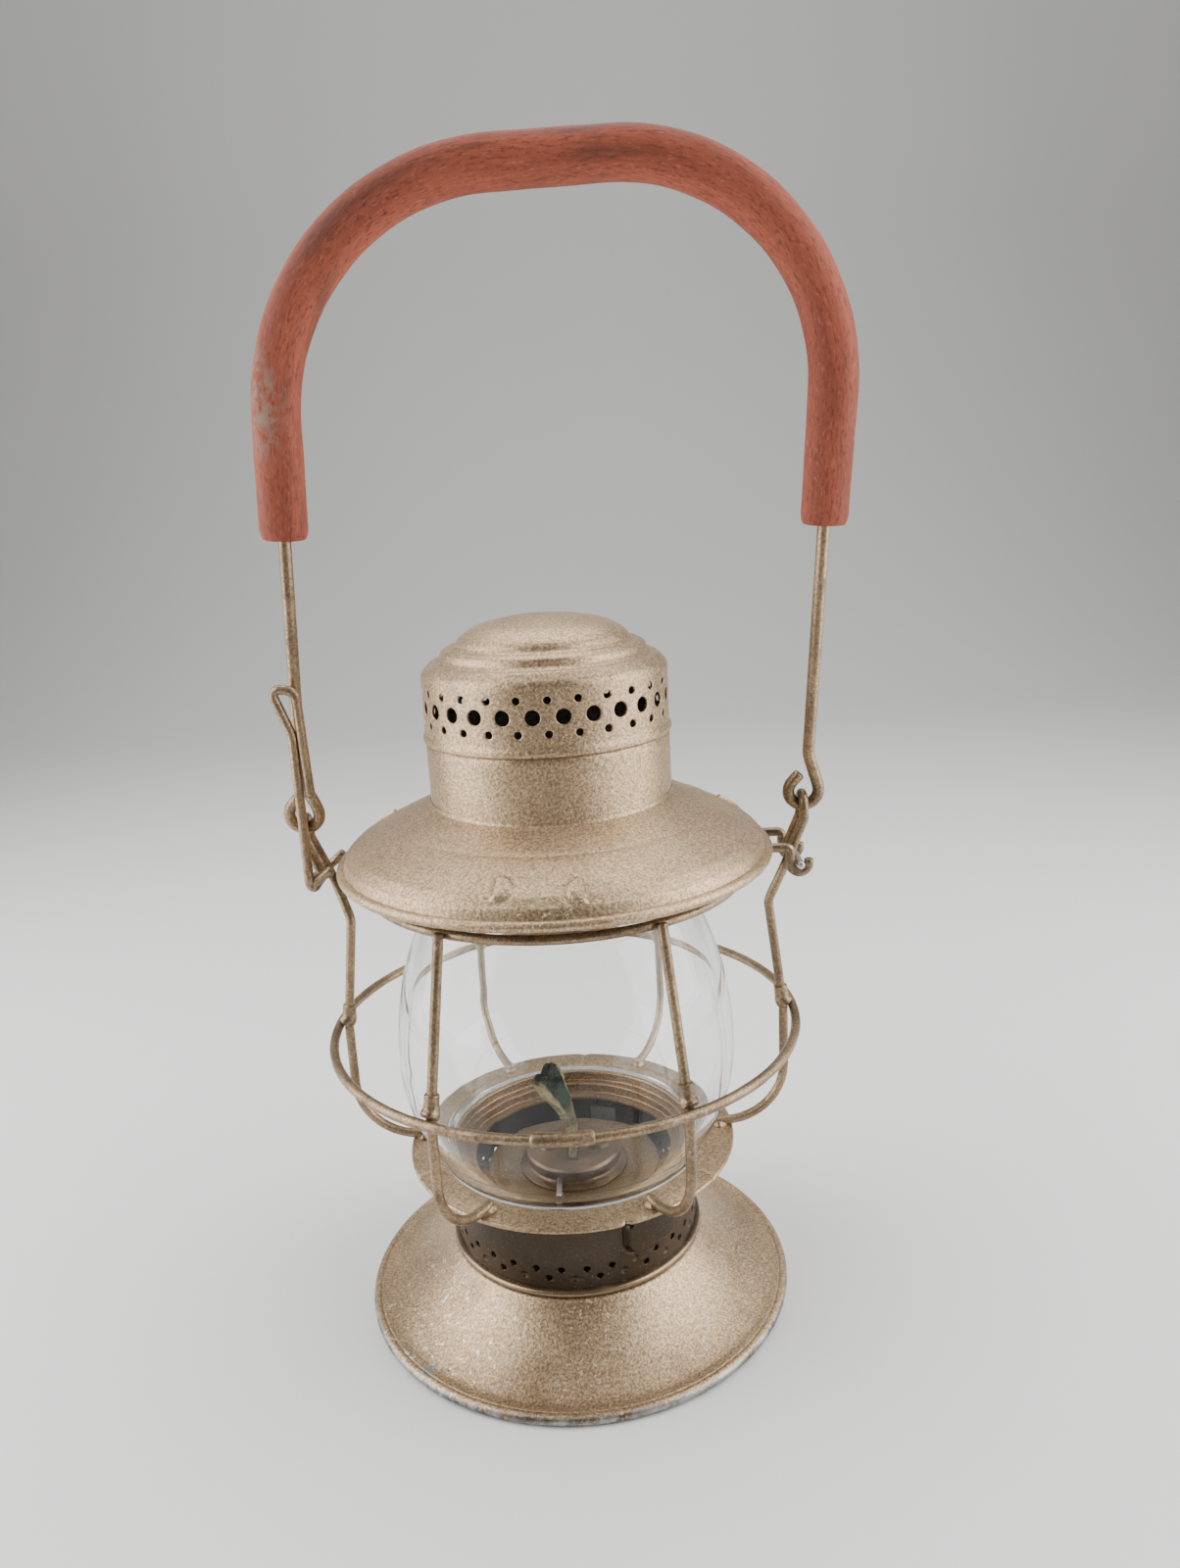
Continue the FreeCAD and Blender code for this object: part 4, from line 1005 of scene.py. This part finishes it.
class LANTERN_OT_spindle(bpy.types.Operator):
    """Wick raiser: a turned spindle with a groove near its end, and two toothed wheels"""
    bl_idname = "lantern.spindle"
    bl_label = "Wick raiser"

    def execute(self, context):
        axis_x, level = -4.2, 40.95
        run = np.linspace(-23.45, 8.95, 90)
        path = np.stack([np.full(90, axis_x), run, np.full(90, level)], 1)
        radius = 0.88 * (1 - 0.16 * np.exp(-((run + 20.2) / 0.35) ** 2))
        make_piece("raiser_spindle", [wire_grid(path, radius, UP, 20)], "spindle", "bare_steel",
                   ["wick_spindle"])
        # A wheel's edge is a circle with twelve cosine teeth, cut flat between them
        phi = np.linspace(0, 2 * np.pi, 96, endpoint=False)
        teeth = 2.05 + 0.30 * np.clip(np.cos(12 * phi), -0.2, 1)
        bore = np.full(96, 0.97)
        out = np.stack([bore, teeth * 0.94, teeth, teeth, teeth * 0.94, bore])
        across = np.array([-1.0, -1.0, -0.85, 0.85, 1.0, 1.0])[:, None]
        wheels = [ring_grid(np.stack([axis_x + out * np.cos(phi), np.broadcast_to(y + across, out.shape),
                                      level + out * np.sin(phi)], -1)) for y in (-5.0, 5.0)]
        make_piece("raiser_wheels", wheels, "spindle", "bare_steel", ["wick_sprockets"])
        return {"FINISHED"}


class LANTERN_OT_wick(bpy.types.Operator):
    """Wick: a flat woven strip, upright in its tube, that leans, curls and frays above it"""
    bl_idname = "lantern.wick"
    bl_label = "Flat wick"

    def execute(self, context):
        # free is the share of the strip above the tube; lean, twist, narrowing and fray all grow with it
        s = np.linspace(0, 1, 140)
        up = 14.0 + 59.6 * s
        tube_top, wick_top = 46.0, 73.9
        free = np.clip((up - tube_top) / 27.6, 0, 1)
        lean_x = -6.4 * free ** 1.4 + 0.6 * np.sin(free * 5.0)
        lean_y = -1.5 * free ** 2
        twist = np.radians(-36.0) * np.clip(free * 1.45 - 0.36, 0, 1) ** 1.1
        narrow = 1 - 0.42 * np.sin(np.pi * 0.5 * np.clip(free * 2.0, 0, 1))
        narrow = narrow + 0.14 * np.exp(-((free - 0.80) / 0.16) ** 2)
        # The section is a squared oval, cupped by the square of the way across
        phi = np.linspace(0, 2 * np.pi, 64, endpoint=False)
        across = squared(np.sin(phi), 0.55)
        thick = squared(np.cos(phi), 0.6)
        s, free, twist = s[:, None], free[:, None], twist[:, None]
        fray = 1 + 0.05 * np.sin(37 * s + 5 * across) * free
        half_y = 9.3 * narrow[:, None] * across * fray
        half_x = (1.60 - 0.30 * free) * thick + 0.12 * np.sin(60 * s + 9 * phi) * free
        cup = -1.6 * free ** 2 * (across ** 2)
        x = lean_x[:, None] + (half_x + cup) * np.cos(twist) - half_y * np.sin(twist)
        y = lean_y[:, None] + (half_x + cup) * np.sin(twist) + half_y * np.cos(twist)
        torn = 1.6 * np.sin(3.1 * across + 0.8) + 0.9 * np.sin(9.0 * across)
        z = up[:, None] + torn * free ** 6 - 1.2 * free ** 6
        points = np.stack([x, y, np.minimum(z, wick_top)], -1)
        place = np.stack([np.broadcast_to(across * 10.0 * MM, half_y.shape),
                          np.broadcast_to((up * MM)[:, None] - 0.014, half_y.shape), half_x * MM], -1)
        strip = Grid(points, wrap_columns=True, cap_start=True, cap_end=True)
        make_piece("wick_strip", [strip], "wick", "wick_cotton", ["wick"],
                   places=("wick_place", place.reshape(-1, 3)), sharp=70.0)
        return {"FINISHED"}


class LANTERN_OT_guard(bpy.types.Operator):
    """Guard: the ring and its sleeve, four uprights, two with ears, clips and the ring under the lid"""
    bl_idname = "lantern.guard"
    bl_label = "Wire guard"

    def execute(self, context):
        sides = form().wire_steps
        theta = np.linspace(0, 2 * np.pi, 360, endpoint=False)
        thick = wire_r() * (1 + 0.014 * np.sin(23 * theta) + 0.012 * np.sin(61 * theta))
        ring = level_ring(RING_RADIUS, theta, GUARD_LEVEL)
        wire_piece("guard_hoop", [wire_grid(ring, thick, UP, sides, closed=True)], "cage", "guard_ring")
        at = np.radians(np.linspace(-95.8, -82.6, 40))
        swell = np.interp(np.linspace(0, 1, 40), [0, 0.03, 0.08, 0.46, 0.5, 0.54, 0.92, 0.97, 1],
                          [1.5, 1.9, 1.98, 1.94, 1.86, 1.94, 1.98, 1.9, 1.5])
        sleeve = level_ring(RING_RADIUS, at, GUARD_LEVEL)
        wire_piece("hoop_sleeve", [wire_grid(sleeve, swell, UP, 20, ends=False)], "cage", "ring_joint")
        top = (57.6, 0, LID_LEVEL - 5.0)
        bend = (63.2, 0, LID_LEVEL - 19.0)
        corners = {"rear_right": 60, "rear_left": 120, "front_left": 240, "front_right": 300}
        for label, degrees in corners.items():
            upright = painted_wire(upright_foot() + [top], [19.0, 12.0], degrees, (0, 1, 0), degrees * 0.1)
            wire_piece("upright_" + label, [upright, self.solder(degrees)], "cage", "guard_upright_" + label)
        crown, toe = BAIL_AXIS + EAR_LOOP, EAR_KNEE + 3.0
        ear = upright_foot() + [
            bend, (KNEE_REACH, -EAR_LOOP, EAR_KNEE), (EAR_REACH, -EAR_LOOP, EAR_SHANK),
            (EAR_REACH, -EAR_LOOP, crown), (EAR_REACH, EAR_LOOP, crown), (EAR_REACH, EAR_LOOP, EAR_SHANK),
            (ear_leg_x(toe), EAR_LOOP, toe)]
        bends = [19.0, 12.0, 5.6, 5.6, 2.8, EAR_LOOP - 0.01, EAR_LOOP - 0.01, 2.8]
        for label, degrees in (("right", 0), ("left", 180)):
            upright = painted_wire(ear, bends, degrees, (-1, 1, 0), 3.0 + degrees, 0.7)
            wire_piece(label + "_ear", [upright, self.solder(degrees)], "cage", label + "_ear_upright")
        # Clips: a flared tube on each upright just above the ring, pulled towards the ring at its foot
        clips = []
        low = np.array([GUARD_RADIUS, 0, GUARD_LEVEL])
        way = np.linspace(0, 6.4, 36)
        swell = np.interp(way, [0, 0.3, 1.2, 2.8, 4.4, 5.95, 6.1, 6.4],
                          [2.0, 2.62, 2.62, 2.16, 2.04, 2.06, 2.0, 1.5])
        for degrees, end in zip(range(0, 360, 60), (bend, top, top) * 2):
            along = (np.array(end) - low) / np.linalg.norm(np.array(end) - low)
            path = low + along * (0.8 + way)[:, None]
            path[:, 0] += 1.0 * np.clip(1 - way / 2.6, 0, 1) ** 2
            clips.append(wire_grid(turned(path, degrees), swell * lumps(36, degrees, 0.012),
                                   turned(np.array([0, 1.0, 0]), degrees), 18, ends=False))
        wire_piece("guard_collars", clips, "cage", "guard_clips")
        hoop = level_ring(54.97, theta, LID_LEVEL - 6.4)
        wire_piece("upper_hoop", [wire_grid(hoop, wire_r() * 0.99, UP, sides, closed=True)], "cage",
                   "guard_top_ring")
        return {"FINISHED"}

    def solder(self, degrees):
        """Solder where an upright lies on the gallery: a low mound, half an ellipsoid with a wavy edge."""
        u = np.linspace(0, 2 * np.pi, 28, endpoint=False)[None, :]
        v = np.linspace(0.02, 0.5 * np.pi, 9)[:, None]
        edge = 1 + 0.10 * np.sin(3 * u + degrees) + 0.06 * np.sin(7 * u)
        x = 46.6 + 3.0 * np.sin(v) * np.cos(u) * edge
        y = 2.35 * np.sin(v) * np.sin(u) * edge
        z = GALLERY_TOP + 0.03 + 2.0 * np.cos(v) + 0 * u
        return Grid(turned(np.stack([x, y, z], -1), degrees), wrap_columns=True, cap_start=True, cap_end=True)


class LANTERN_OT_lid(bpy.types.Operator):
    """Lid: the brim with its rolled rim, crease and half-moons, the plain drum, and the globe's seat"""
    bl_idname = "lantern.lid"
    bl_label = "Lid"

    def execute(self, context):
        slope = rounded([(35.4, 163.0), (35.45, 161.9), (37.3, 160.95), (45.0, 157.52), (46.2, 156.79),
                         (47.6, 156.35), (54.0, 153.15), (58.5, 150.5), (61.2, 148.0), (61.95, 145.7)],
                        [0.9, 6.0, 1.6, 1.2, 30.0, 12.0, 3.0, 1.6], 12)
        slope = evenly(slope, 0.34)
        bead = arc((62.6, 144.1), 1.5, 112, -190, 40)
        under = rounded([(61.0, 145.3), (60.3, 147.4), (57.9, 149.7), (53.7, 152.3), (46.0, 156.0),
                         (36.9, 160.1), (35.4, 161.0)], [1.5, 6.0, 30.0, 30.0, 2.0], 8)
        points = lathe(np.concatenate([slope, bead, under]), 576, dents(), 3.0)
        # Half-moons: discs cut off by a straight line, raised on the slope, with a sunk line round each
        theta = np.degrees(np.arctan2(points[..., 1], points[..., 0]))
        radius = np.hypot(points[..., 0], points[..., 1])
        count = len(slope)
        # line holds the painted shade that darkens the sunk lines round the half-moons
        line = np.zeros(radius.shape)
        for middle in (-90.0, 30.0, 150.0):
            for side, at, reach in ((-1, -12.4, 56.2), (1, 8.6, 57.6)):
                off = np.radians((theta - (middle + at) + 180) % 360 - 180) * reach
                disc = np.hypot(off, radius - reach)
                straight = np.clip((1.4 - side * off) / 0.5, 0, 1)
                rise = np.clip((3.6 - disc) / 0.8, 0, 1) * straight
                edge = np.exp(-((disc - 3.9) / 0.45) ** 2) * straight
                edge = np.maximum(edge, np.exp(-((side * off - 1.8) / 0.4) ** 2) * np.clip(4.2 - disc, 0, 1))
                points[:, :count, 2] += (0.85 * eased(rise) - 0.20 * edge)[:, :count]
                line[:, :count] = np.maximum(line, 0.30 * edge)[:, :count]
        make_piece("brim_skin", [ring_grid(points)], "lid", "lid_paint", ["hood_brim"],
                   places=("pressed_line", line.ravel()))
        drum = rounded([(35.3, 158.7), (35.3, 163.0), (35.25, 179.2), (34.5, 180.2), (34.45, 184.0),
                        (33.65, 184.0), (33.65, 179.4), (34.5, 178.4), (34.5, 158.7), (35.3, 158.7)],
                       [0.1, 0.8, 0.5, 0.2, 0.2, 0.5, 0.5, 0.1], 6)[:-1]
        drum = evenly(np.concatenate([drum, drum[:1]]), 0.8)[:-1]
        make_piece("drum_skin", [ring_grid(lathe(drum, form().around, dents() * 0.7, 9.0))], "lid",
                   "drum_paint", ["chimney_drum"])
        seat = rounded([(53.6, 151.6), (38.0, 139.3), (32.2, 139.2), (32.2, 138.4), (38.2, 138.4),
                        (53.9, 150.9), (53.6, 151.6)], [1.0, 0.3, 0.3, 1.0, 0.2], 6)[:-1]
        make_piece("seat_skin", [ring_grid(lathe(seat, form().around))], "lid", "inner_paint",
                   ["globe_seat_ring"])
        return {"FINISHED"}


class LANTERN_OT_cap(bpy.types.Operator):
    """Cap: a beaded foot, three rows of punched vents, a rounded shoulder and a ringed dome"""
    bl_idname = "lantern.cap"
    bl_label = "Vented cap"

    def execute(self, context):
        outer, vents = 35.3, 27
        bore, shift = outer - SHEET, 180.0 / vents
        foot, low, high, shoulder = CAP_FOOT + 3.6, CAP_FOOT + 8.2, CAP_FOOT + 13.6, CAP_FOOT + 17.4
        level = CAP_FOOT + 10.9
        grids = vent_band(outer, SHEET, vents, shift, foot, low, level - 4.5, 1.05)
        grids += vent_band(outer, SHEET, vents, 0.0, low, high, level, 2.1)
        grids += vent_band(outer, SHEET, vents, shift, high, shoulder, level + 4.5, 1.05)
        bead = rounded([(outer, foot), (outer + 0.02, CAP_FOOT + 2.9), (outer + 0.62, CAP_FOOT + 1.7),
                        (outer + 0.55, CAP_FOOT + 0.4), (outer - 0.1, CAP_FOOT + 0.02),
                        (bore + 0.05, CAP_FOOT + 0.1), (bore, foot)], [1.0, 1.0, 0.6, 0.2, 0.2], 8)
        grids.append(Grid(lathe(bead, 324, 0.03, 4.0), wrap_rows=True))
        dome = rounded([(outer, shoulder), (outer - 0.05, CAP_FOOT + 19.7), (32.6, 202.4), (31.0, 202.5),
                        (29.9, 203.4), (29.2, 205.3), (27.5, 206.3), (26.0, 206.1), (25.0, 206.9),
                        (24.3, 208.6), (19.5, 211.8), (10.0, 213.9), (0.0, 214.6)],
                       [3.0, 1.0, 0.8, 0.9, 1.2, 1.0, 0.8, 0.9, 5.0, 16.0, 40.0], 14)
        dome = evenly(dome, 0.32)
        inner = dome[::-3].copy()
        inner[:, 1] -= 0.75
        inner[:, 0] = np.minimum(inner[:, 0], bore)
        inner[0, 0] = 0.0
        grids.append(Grid(lathe(np.concatenate([dome, inner]), 324, 0.10, 4.0), wrap_rows=True))
        make_piece("cap_skin", grids, "lid", "cap_paint", ["vented_cap"], sharp=50.0)
        return {"FINISHED"}


class LANTERN_OT_fittings(bpy.types.Operator):
    """Hinge and latch: two hooks round the pin, the sleeve, and the spring latch with its finger loop"""
    bl_idname = "lantern.fittings"
    bl_label = "Hinge and latch"

    def execute(self, context):
        pin, level = 71.397, LID_LEVEL - 5.0
        bend = 1.2 + 0.06 + wire_r()
        hooks = []
        for y in (-8.0, 8.0):
            rim = math.sqrt(LID_RIM ** 2 - (8.0 - wire_r()) ** 2) + 0.05
            route = [(rim - 1.3, y, LID_LEVEL), (pin - bend, y, LID_LEVEL), (pin - bend, y, level - bend),
                     (pin + bend, y, level - bend), (pin + bend, y, level + 1.5)]
            hooks.append(painted_wire(route, [1.4, bend - 0.01, bend - 0.01], 0, (0, 1, 0), y, 0.5))
        wire_piece("hinge_wires", hooks, "lid", "hinge_hooks")
        run = np.linspace(-10.8, 10.8, 60)
        rod = np.stack([np.full(60, pin), run, np.full(60, level)], 1)
        make_piece("hinge_rod", [wire_grid(rod, 1.19, UP, 18)], "cage", "bare_steel",
                   ["hinge_pin"])
        # Sleeve: a closed section of (radius, place along Y) carried round the latch's bar
        bar, low = -72.094, LID_LEVEL - 5.8
        wall = np.array([1.5, 2.08, 2.15, 2.15, 2.08, 1.5, 1.47, 1.47])[:, None]
        at = np.array([-5.0, -5.0, -4.8, 4.8, 5.0, 5.0, 4.9, -4.9])[:, None]
        phi = np.linspace(0, 2 * np.pi, 28, endpoint=False)
        sleeve = np.stack([bar + wall * np.cos(phi), np.broadcast_to(at, (8, 28)),
                           low + wall * np.sin(phi)], -1)
        wire_piece("latch_tube", [ring_grid(sleeve)], "cage", "latch_sleeve")
        rear, front = 8.5, -8.5
        toe = -(math.sqrt(LID_RIM ** 2 - (rear - wire_r()) ** 2) + wire_r())
        loop = low + 46.0
        route = [(toe, rear, LID_LEVEL), (bar, rear, low), (bar, front, low), (bar, front, loop),
                 (bar - 5.0, front, loop + 14.0), (bar + 2.2, front, loop + 12.6),
                 (bar + 3.2, front, loop - 18.0)]
        latch = painted_wire(route, [3.0, 3.0, 6.0, 1.9, 3.0], 0, (1, 1, 1), 4.4, 0.6)
        short = [(toe, front, LID_LEVEL), (bar, front + 1.0, low + 1.0)]
        front_toe = painted_wire(short, [], 0, (1, 1, 1), 2.2, 0.6)
        wire_piece("latch_spring", [latch, front_toe], "latch", "latch_wire")
        return {"FINISHED"}


def in_bail(points):
    """Points of the bail's own plane (across, up) set in space: leaned to the front about the eyes."""
    points = np.asarray(points, float)
    across, up = points[:, 0], points[:, 1]
    return np.stack([across, -up * math.sin(BAIL_LEAN), BAIL_AXIS + up * math.cos(BAIL_LEAN)], 1)


def bail_line(left_from, right_from):
    """The bail's bent line in its own plane, between two heights on its legs."""
    left_foot, left_top = np.array([-73.5, 8.8]), np.array([-61.3, 171.3])
    right_foot, right_top = np.array([74.8, 8.6035]), np.array([83.0, 173.8])
    left_leg, right_leg = left_top - left_foot, right_top - right_foot
    left = left_foot + left_leg * (left_from - left_foot[1]) / left_leg[1]
    right = right_foot + right_leg * (right_from - right_foot[1]) / right_leg[1]
    return rounded([left, left_top, right_top, right], [62.0, 55.0], 60)


class LANTERN_OT_bail(bpy.types.Operator):
    """Bail: one bent wire with an open eye at each end, and a rubber hose over its top"""
    bl_idname = "lantern.bail"
    bl_label = "Bail and hose"

    def execute(self, context):
        square = np.array([0, math.cos(BAIL_LEAN), math.sin(BAIL_LEAN)])
        radius = form().bail_wire / MM / 2
        legs = bail_line(17.0, 17.0)
        left, right = self.eye(-EAR_REACH, legs[0], legs[1]), self.eye(EAR_REACH + 0.4, legs[-1], legs[-2])
        line = evenly(in_bail(np.concatenate([left[::-1], legs, right])), 0.7)
        rod = wire_grid(line, radius * lumps(len(line), 1.3, 0.010), square, 16)
        wire_piece("bail_rod", [rod], "bail", "bail")
        # Hose: a tube with a slow swell and drawn-in lips, closed by end faces and a short bore at each end
        outer = form().hose / MM / 2
        bore, face, sides, step = 2.1, 3.4, 40, 0.8
        path = evenly(in_bail(bail_line(84.7, 81.3)), step)
        count = len(path)
        s = np.arange(count) * step
        swell = outer * (1 + 0.010 * np.sin(0.11 * s + 0.5) + 0.006 * np.sin(0.37 * s)) - 0.06
        lip = np.array([0.30, 0.62, 0.84, 0.95])
        ends = np.concatenate([lip, np.ones(count - 8), lip[::-1]])
        shape = swell * np.where(ends < 1, 1 - 0.16 * (1 - ends), 1.0)
        rings = np.concatenate([
            tube(path[[0, 6]], bore, square, sides)[::-1], tube(path[[0, 1]], face, square, sides)[:1],
            tube(path, shape, square, sides), tube(path[[-2, -1]], face, square, sides)[1:],
            tube(path[[-7, -1]], bore, square, sides)[::-1]])
        phi = np.linspace(0, 2 * np.pi, sides, endpoint=False)
        along = np.concatenate([[s[6], s[0], s[0]], s, [s[-1], s[-1], s[-7]]])
        wide = np.concatenate([[bore, bore, face], shape, [face, bore, bore]])
        place = np.stack([np.broadcast_to(along[:, None], rings.shape[:2]), wide[:, None] * np.cos(phi),
                          wide[:, None] * np.sin(phi)], -1) * MM
        make_piece("hose_grip", [Grid(rings, wrap_columns=True, closed=True)], "bail", "hose_rubber",
                   ["grip"], places=("hose_place", place.reshape(-1, 3)), sharp=42.0)
        return {"FINISHED"}

    def eye(self, middle, foot, above):
        """A leg's open eye: a cubic from the foot, along the leg, to the right of the eye's circle, then the
        circle round its bottom and left side, and a short straight tail to a cut end by the leg."""
        t = np.linspace(0, 1, 20)[1:, None]
        begin, cut = 8.0, -222.0
        angle, last = math.radians(begin), math.radians(cut)
        start = EYE_RADIUS * np.array([math.cos(angle), math.sin(angle)]) + (middle, EYE_RADIUS)
        leave = (foot - above) / np.linalg.norm(foot - above) * 9.0
        arrive = np.array([math.sin(angle), -math.cos(angle)]) * 9.0
        curve = ((2 * t ** 3 - 3 * t ** 2 + 1) * foot + (t ** 3 - 2 * t ** 2 + t) * leave
                 + (3 * t ** 2 - 2 * t ** 3) * start + (t ** 3 - t ** 2) * arrive)
        ring = arc((middle, EYE_RADIUS), EYE_RADIUS, begin, cut, 60)[1:]
        tail = ring[-1] + np.array([math.sin(last), -math.cos(last)]) * 3.4
        return np.concatenate([curve, ring, tail[None]])


class LANTERN_OT_carried(bpy.types.Operator):
    """Finishes for the solids that stay as they are inside the neck"""
    bl_idname = "lantern.carried"
    bl_label = "Inner solids"

    def execute(self, context):
        for node in ("bayonet_collar", "fount_collar"):
            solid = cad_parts[node]
            solid.data.materials.clear()
            solid.data.materials.append(finish("dull_tin"))
        return {"FINISHED"}


class LANTERN_OT_stage(bpy.types.Operator):
    """Stage: a pale floor that sweeps up behind, soft panels left, right, above and behind, and the camera"""
    bl_idname = "lantern.stage"
    bl_label = "Stage"

    def execute(self, context):
        look = context.scene.lantern_stage
        # The sweep: level, then a quarter circle, then upright, the same all the way across
        across = np.linspace(-2.4, 2.4, 9)[:, None]
        quarter = np.linspace(0, 0.5 * np.pi, 16)[1:]
        bend, start = 0.8, 0.9
        run = np.concatenate([np.linspace(-1.6, start, 12), start + bend * np.sin(quarter), [1.7]])
        rise = np.concatenate([np.zeros(12), bend - bend * np.cos(quarter), [3.2]])
        shape = (9, len(run))
        sweep = np.stack([np.broadcast_to(across, shape), np.broadcast_to(run, shape),
                          np.broadcast_to(rise - FLOOR_DROP, shape)], -1)
        mesh = bpy.data.meshes.new("floor")
        mesh.from_pydata(sweep.reshape(-1, 3).tolist(), [], Grid(sweep).quads().tolist())
        mesh.shade_smooth()
        mesh.materials.append(finish("floor_card"))
        floor = bpy.data.objects.new("floor", mesh)
        context.scene.collection.objects.link(floor)
        self.panel("left_panel", (-0.58, -0.10, 0.36), (0.0, 0.0, 0.16), (0.70, 0.80), look.side_power)
        self.panel("right_panel", (0.60, -0.10, 0.36), (0.0, 0.0, 0.16), (0.70, 0.80), look.side_power)
        self.panel("top_panel", (0.0, 0.22, 0.90), (0.0, 0.10, 0.15), (1.0, 0.7), look.top_power)
        self.panel("back_panel", (0.0, 0.35, 1.60), (0.0, 1.60, 0.60), (2.4, 0.6), look.back_power)
        world = bpy.data.worlds.new("studio")
        world.use_nodes = True
        sky = world.node_tree.nodes["Background"]
        sky.inputs["Color"].default_value = (0.80, 0.80, 0.80, 1.0)
        sky.inputs["Strength"].default_value = 0.10
        context.scene.world = world
        self.camera(context.scene)
        return {"FINISHED"}

    def camera(self, scene):
        """The camera at its place: ahead from yaw and pitch, then rolled about its own line of sight."""
        lens = bpy.data.cameras.new("camera")
        lens.lens = FOCAL_PIXELS / PHOTO_HEIGHT * SENSOR_WIDTH
        lens.sensor_width = SENSOR_WIDTH
        lens.clip_start = 0.01
        yaw, pitch, roll = (math.radians(turn) for turn in (CAMERA_YAW, CAMERA_PITCH, CAMERA_ROLL))
        ahead = Vector((math.sin(yaw) * math.cos(pitch), math.cos(yaw) * math.cos(pitch), -math.sin(pitch)))
        right = ahead.cross(Vector(UP)).normalized()
        up = right.cross(ahead)
        camera_x = math.cos(roll) * right + math.sin(roll) * up
        camera_y = -math.sin(roll) * right + math.cos(roll) * up
        camera = bpy.data.objects.new("camera", lens)
        camera.matrix_world = Matrix.Translation(CAMERA_PLACE) @ Matrix(
            (camera_x, camera_y, -ahead)).transposed().to_4x4()
        scene.collection.objects.link(camera)
        scene.camera = camera

    def panel(self, name, place, target, size, power):
        """A soft rectangular light that faces a target."""
        light = bpy.data.lights.new(name, "AREA")
        light.shape = "RECTANGLE"
        light.size, light.size_y = size
        light.energy = power
        lamp = bpy.data.objects.new(name, light)
        lamp.location = place
        lamp.rotation_euler = (Vector(target) - Vector(place)).to_track_quat("-Z", "Y").to_euler()
        bpy.context.scene.collection.objects.link(lamp)


OPERATORS = (
    LANTERN_OT_base, LANTERN_OT_neck, LANTERN_OT_gallery, LANTERN_OT_globe, LANTERN_OT_burner,
    LANTERN_OT_spindle, LANTERN_OT_wick, LANTERN_OT_guard, LANTERN_OT_lid, LANTERN_OT_cap,
    LANTERN_OT_fittings, LANTERN_OT_bail, LANTERN_OT_carried, LANTERN_OT_stage,
)


class LANTERN_PT_sidebar(bpy.types.Panel):
    """Sidebar list of the lantern's pieces and settings"""
    bl_idname = "LANTERN_PT_sidebar"
    bl_label = "Oil hand lantern"
    bl_space_type = "VIEW_3D"
    bl_region_type = "UI"
    bl_category = "Lantern"

    def draw(self, context):
        for group in (context.scene.lantern_form, context.scene.lantern_finish, context.scene.lantern_stage):
            box = self.layout.box()
            for key in group.__annotations__:
                box.prop(group, key)
        for operator in OPERATORS:
            self.layout.operator(operator.bl_idname)


GROUPS = {
    "lantern_finish": LANTERN_PG_finish, "lantern_form": LANTERN_PG_form, "lantern_stage": LANTERN_PG_stage,
}
CLASSES = (*GROUPS.values(), *OPERATORS, LANTERN_PT_sidebar)


def register():
    for cls in CLASSES:
        bpy.utils.register_class(cls)
    for key, cls in GROUPS.items():
        setattr(bpy.types.Scene, key, bpy.props.PointerProperty(type=cls))


def unregister():
    for key in GROUPS:
        delattr(bpy.types.Scene, key)
    for cls in reversed(CLASSES):
        bpy.utils.unregister_class(cls)


def main():
    register()
    for operator in OPERATORS:
        group, call = operator.bl_idname.split(".")
        getattr(getattr(bpy.ops, group), call)()
    bpy.context.view_layer.update()


if __name__ == "__main__":
    main()
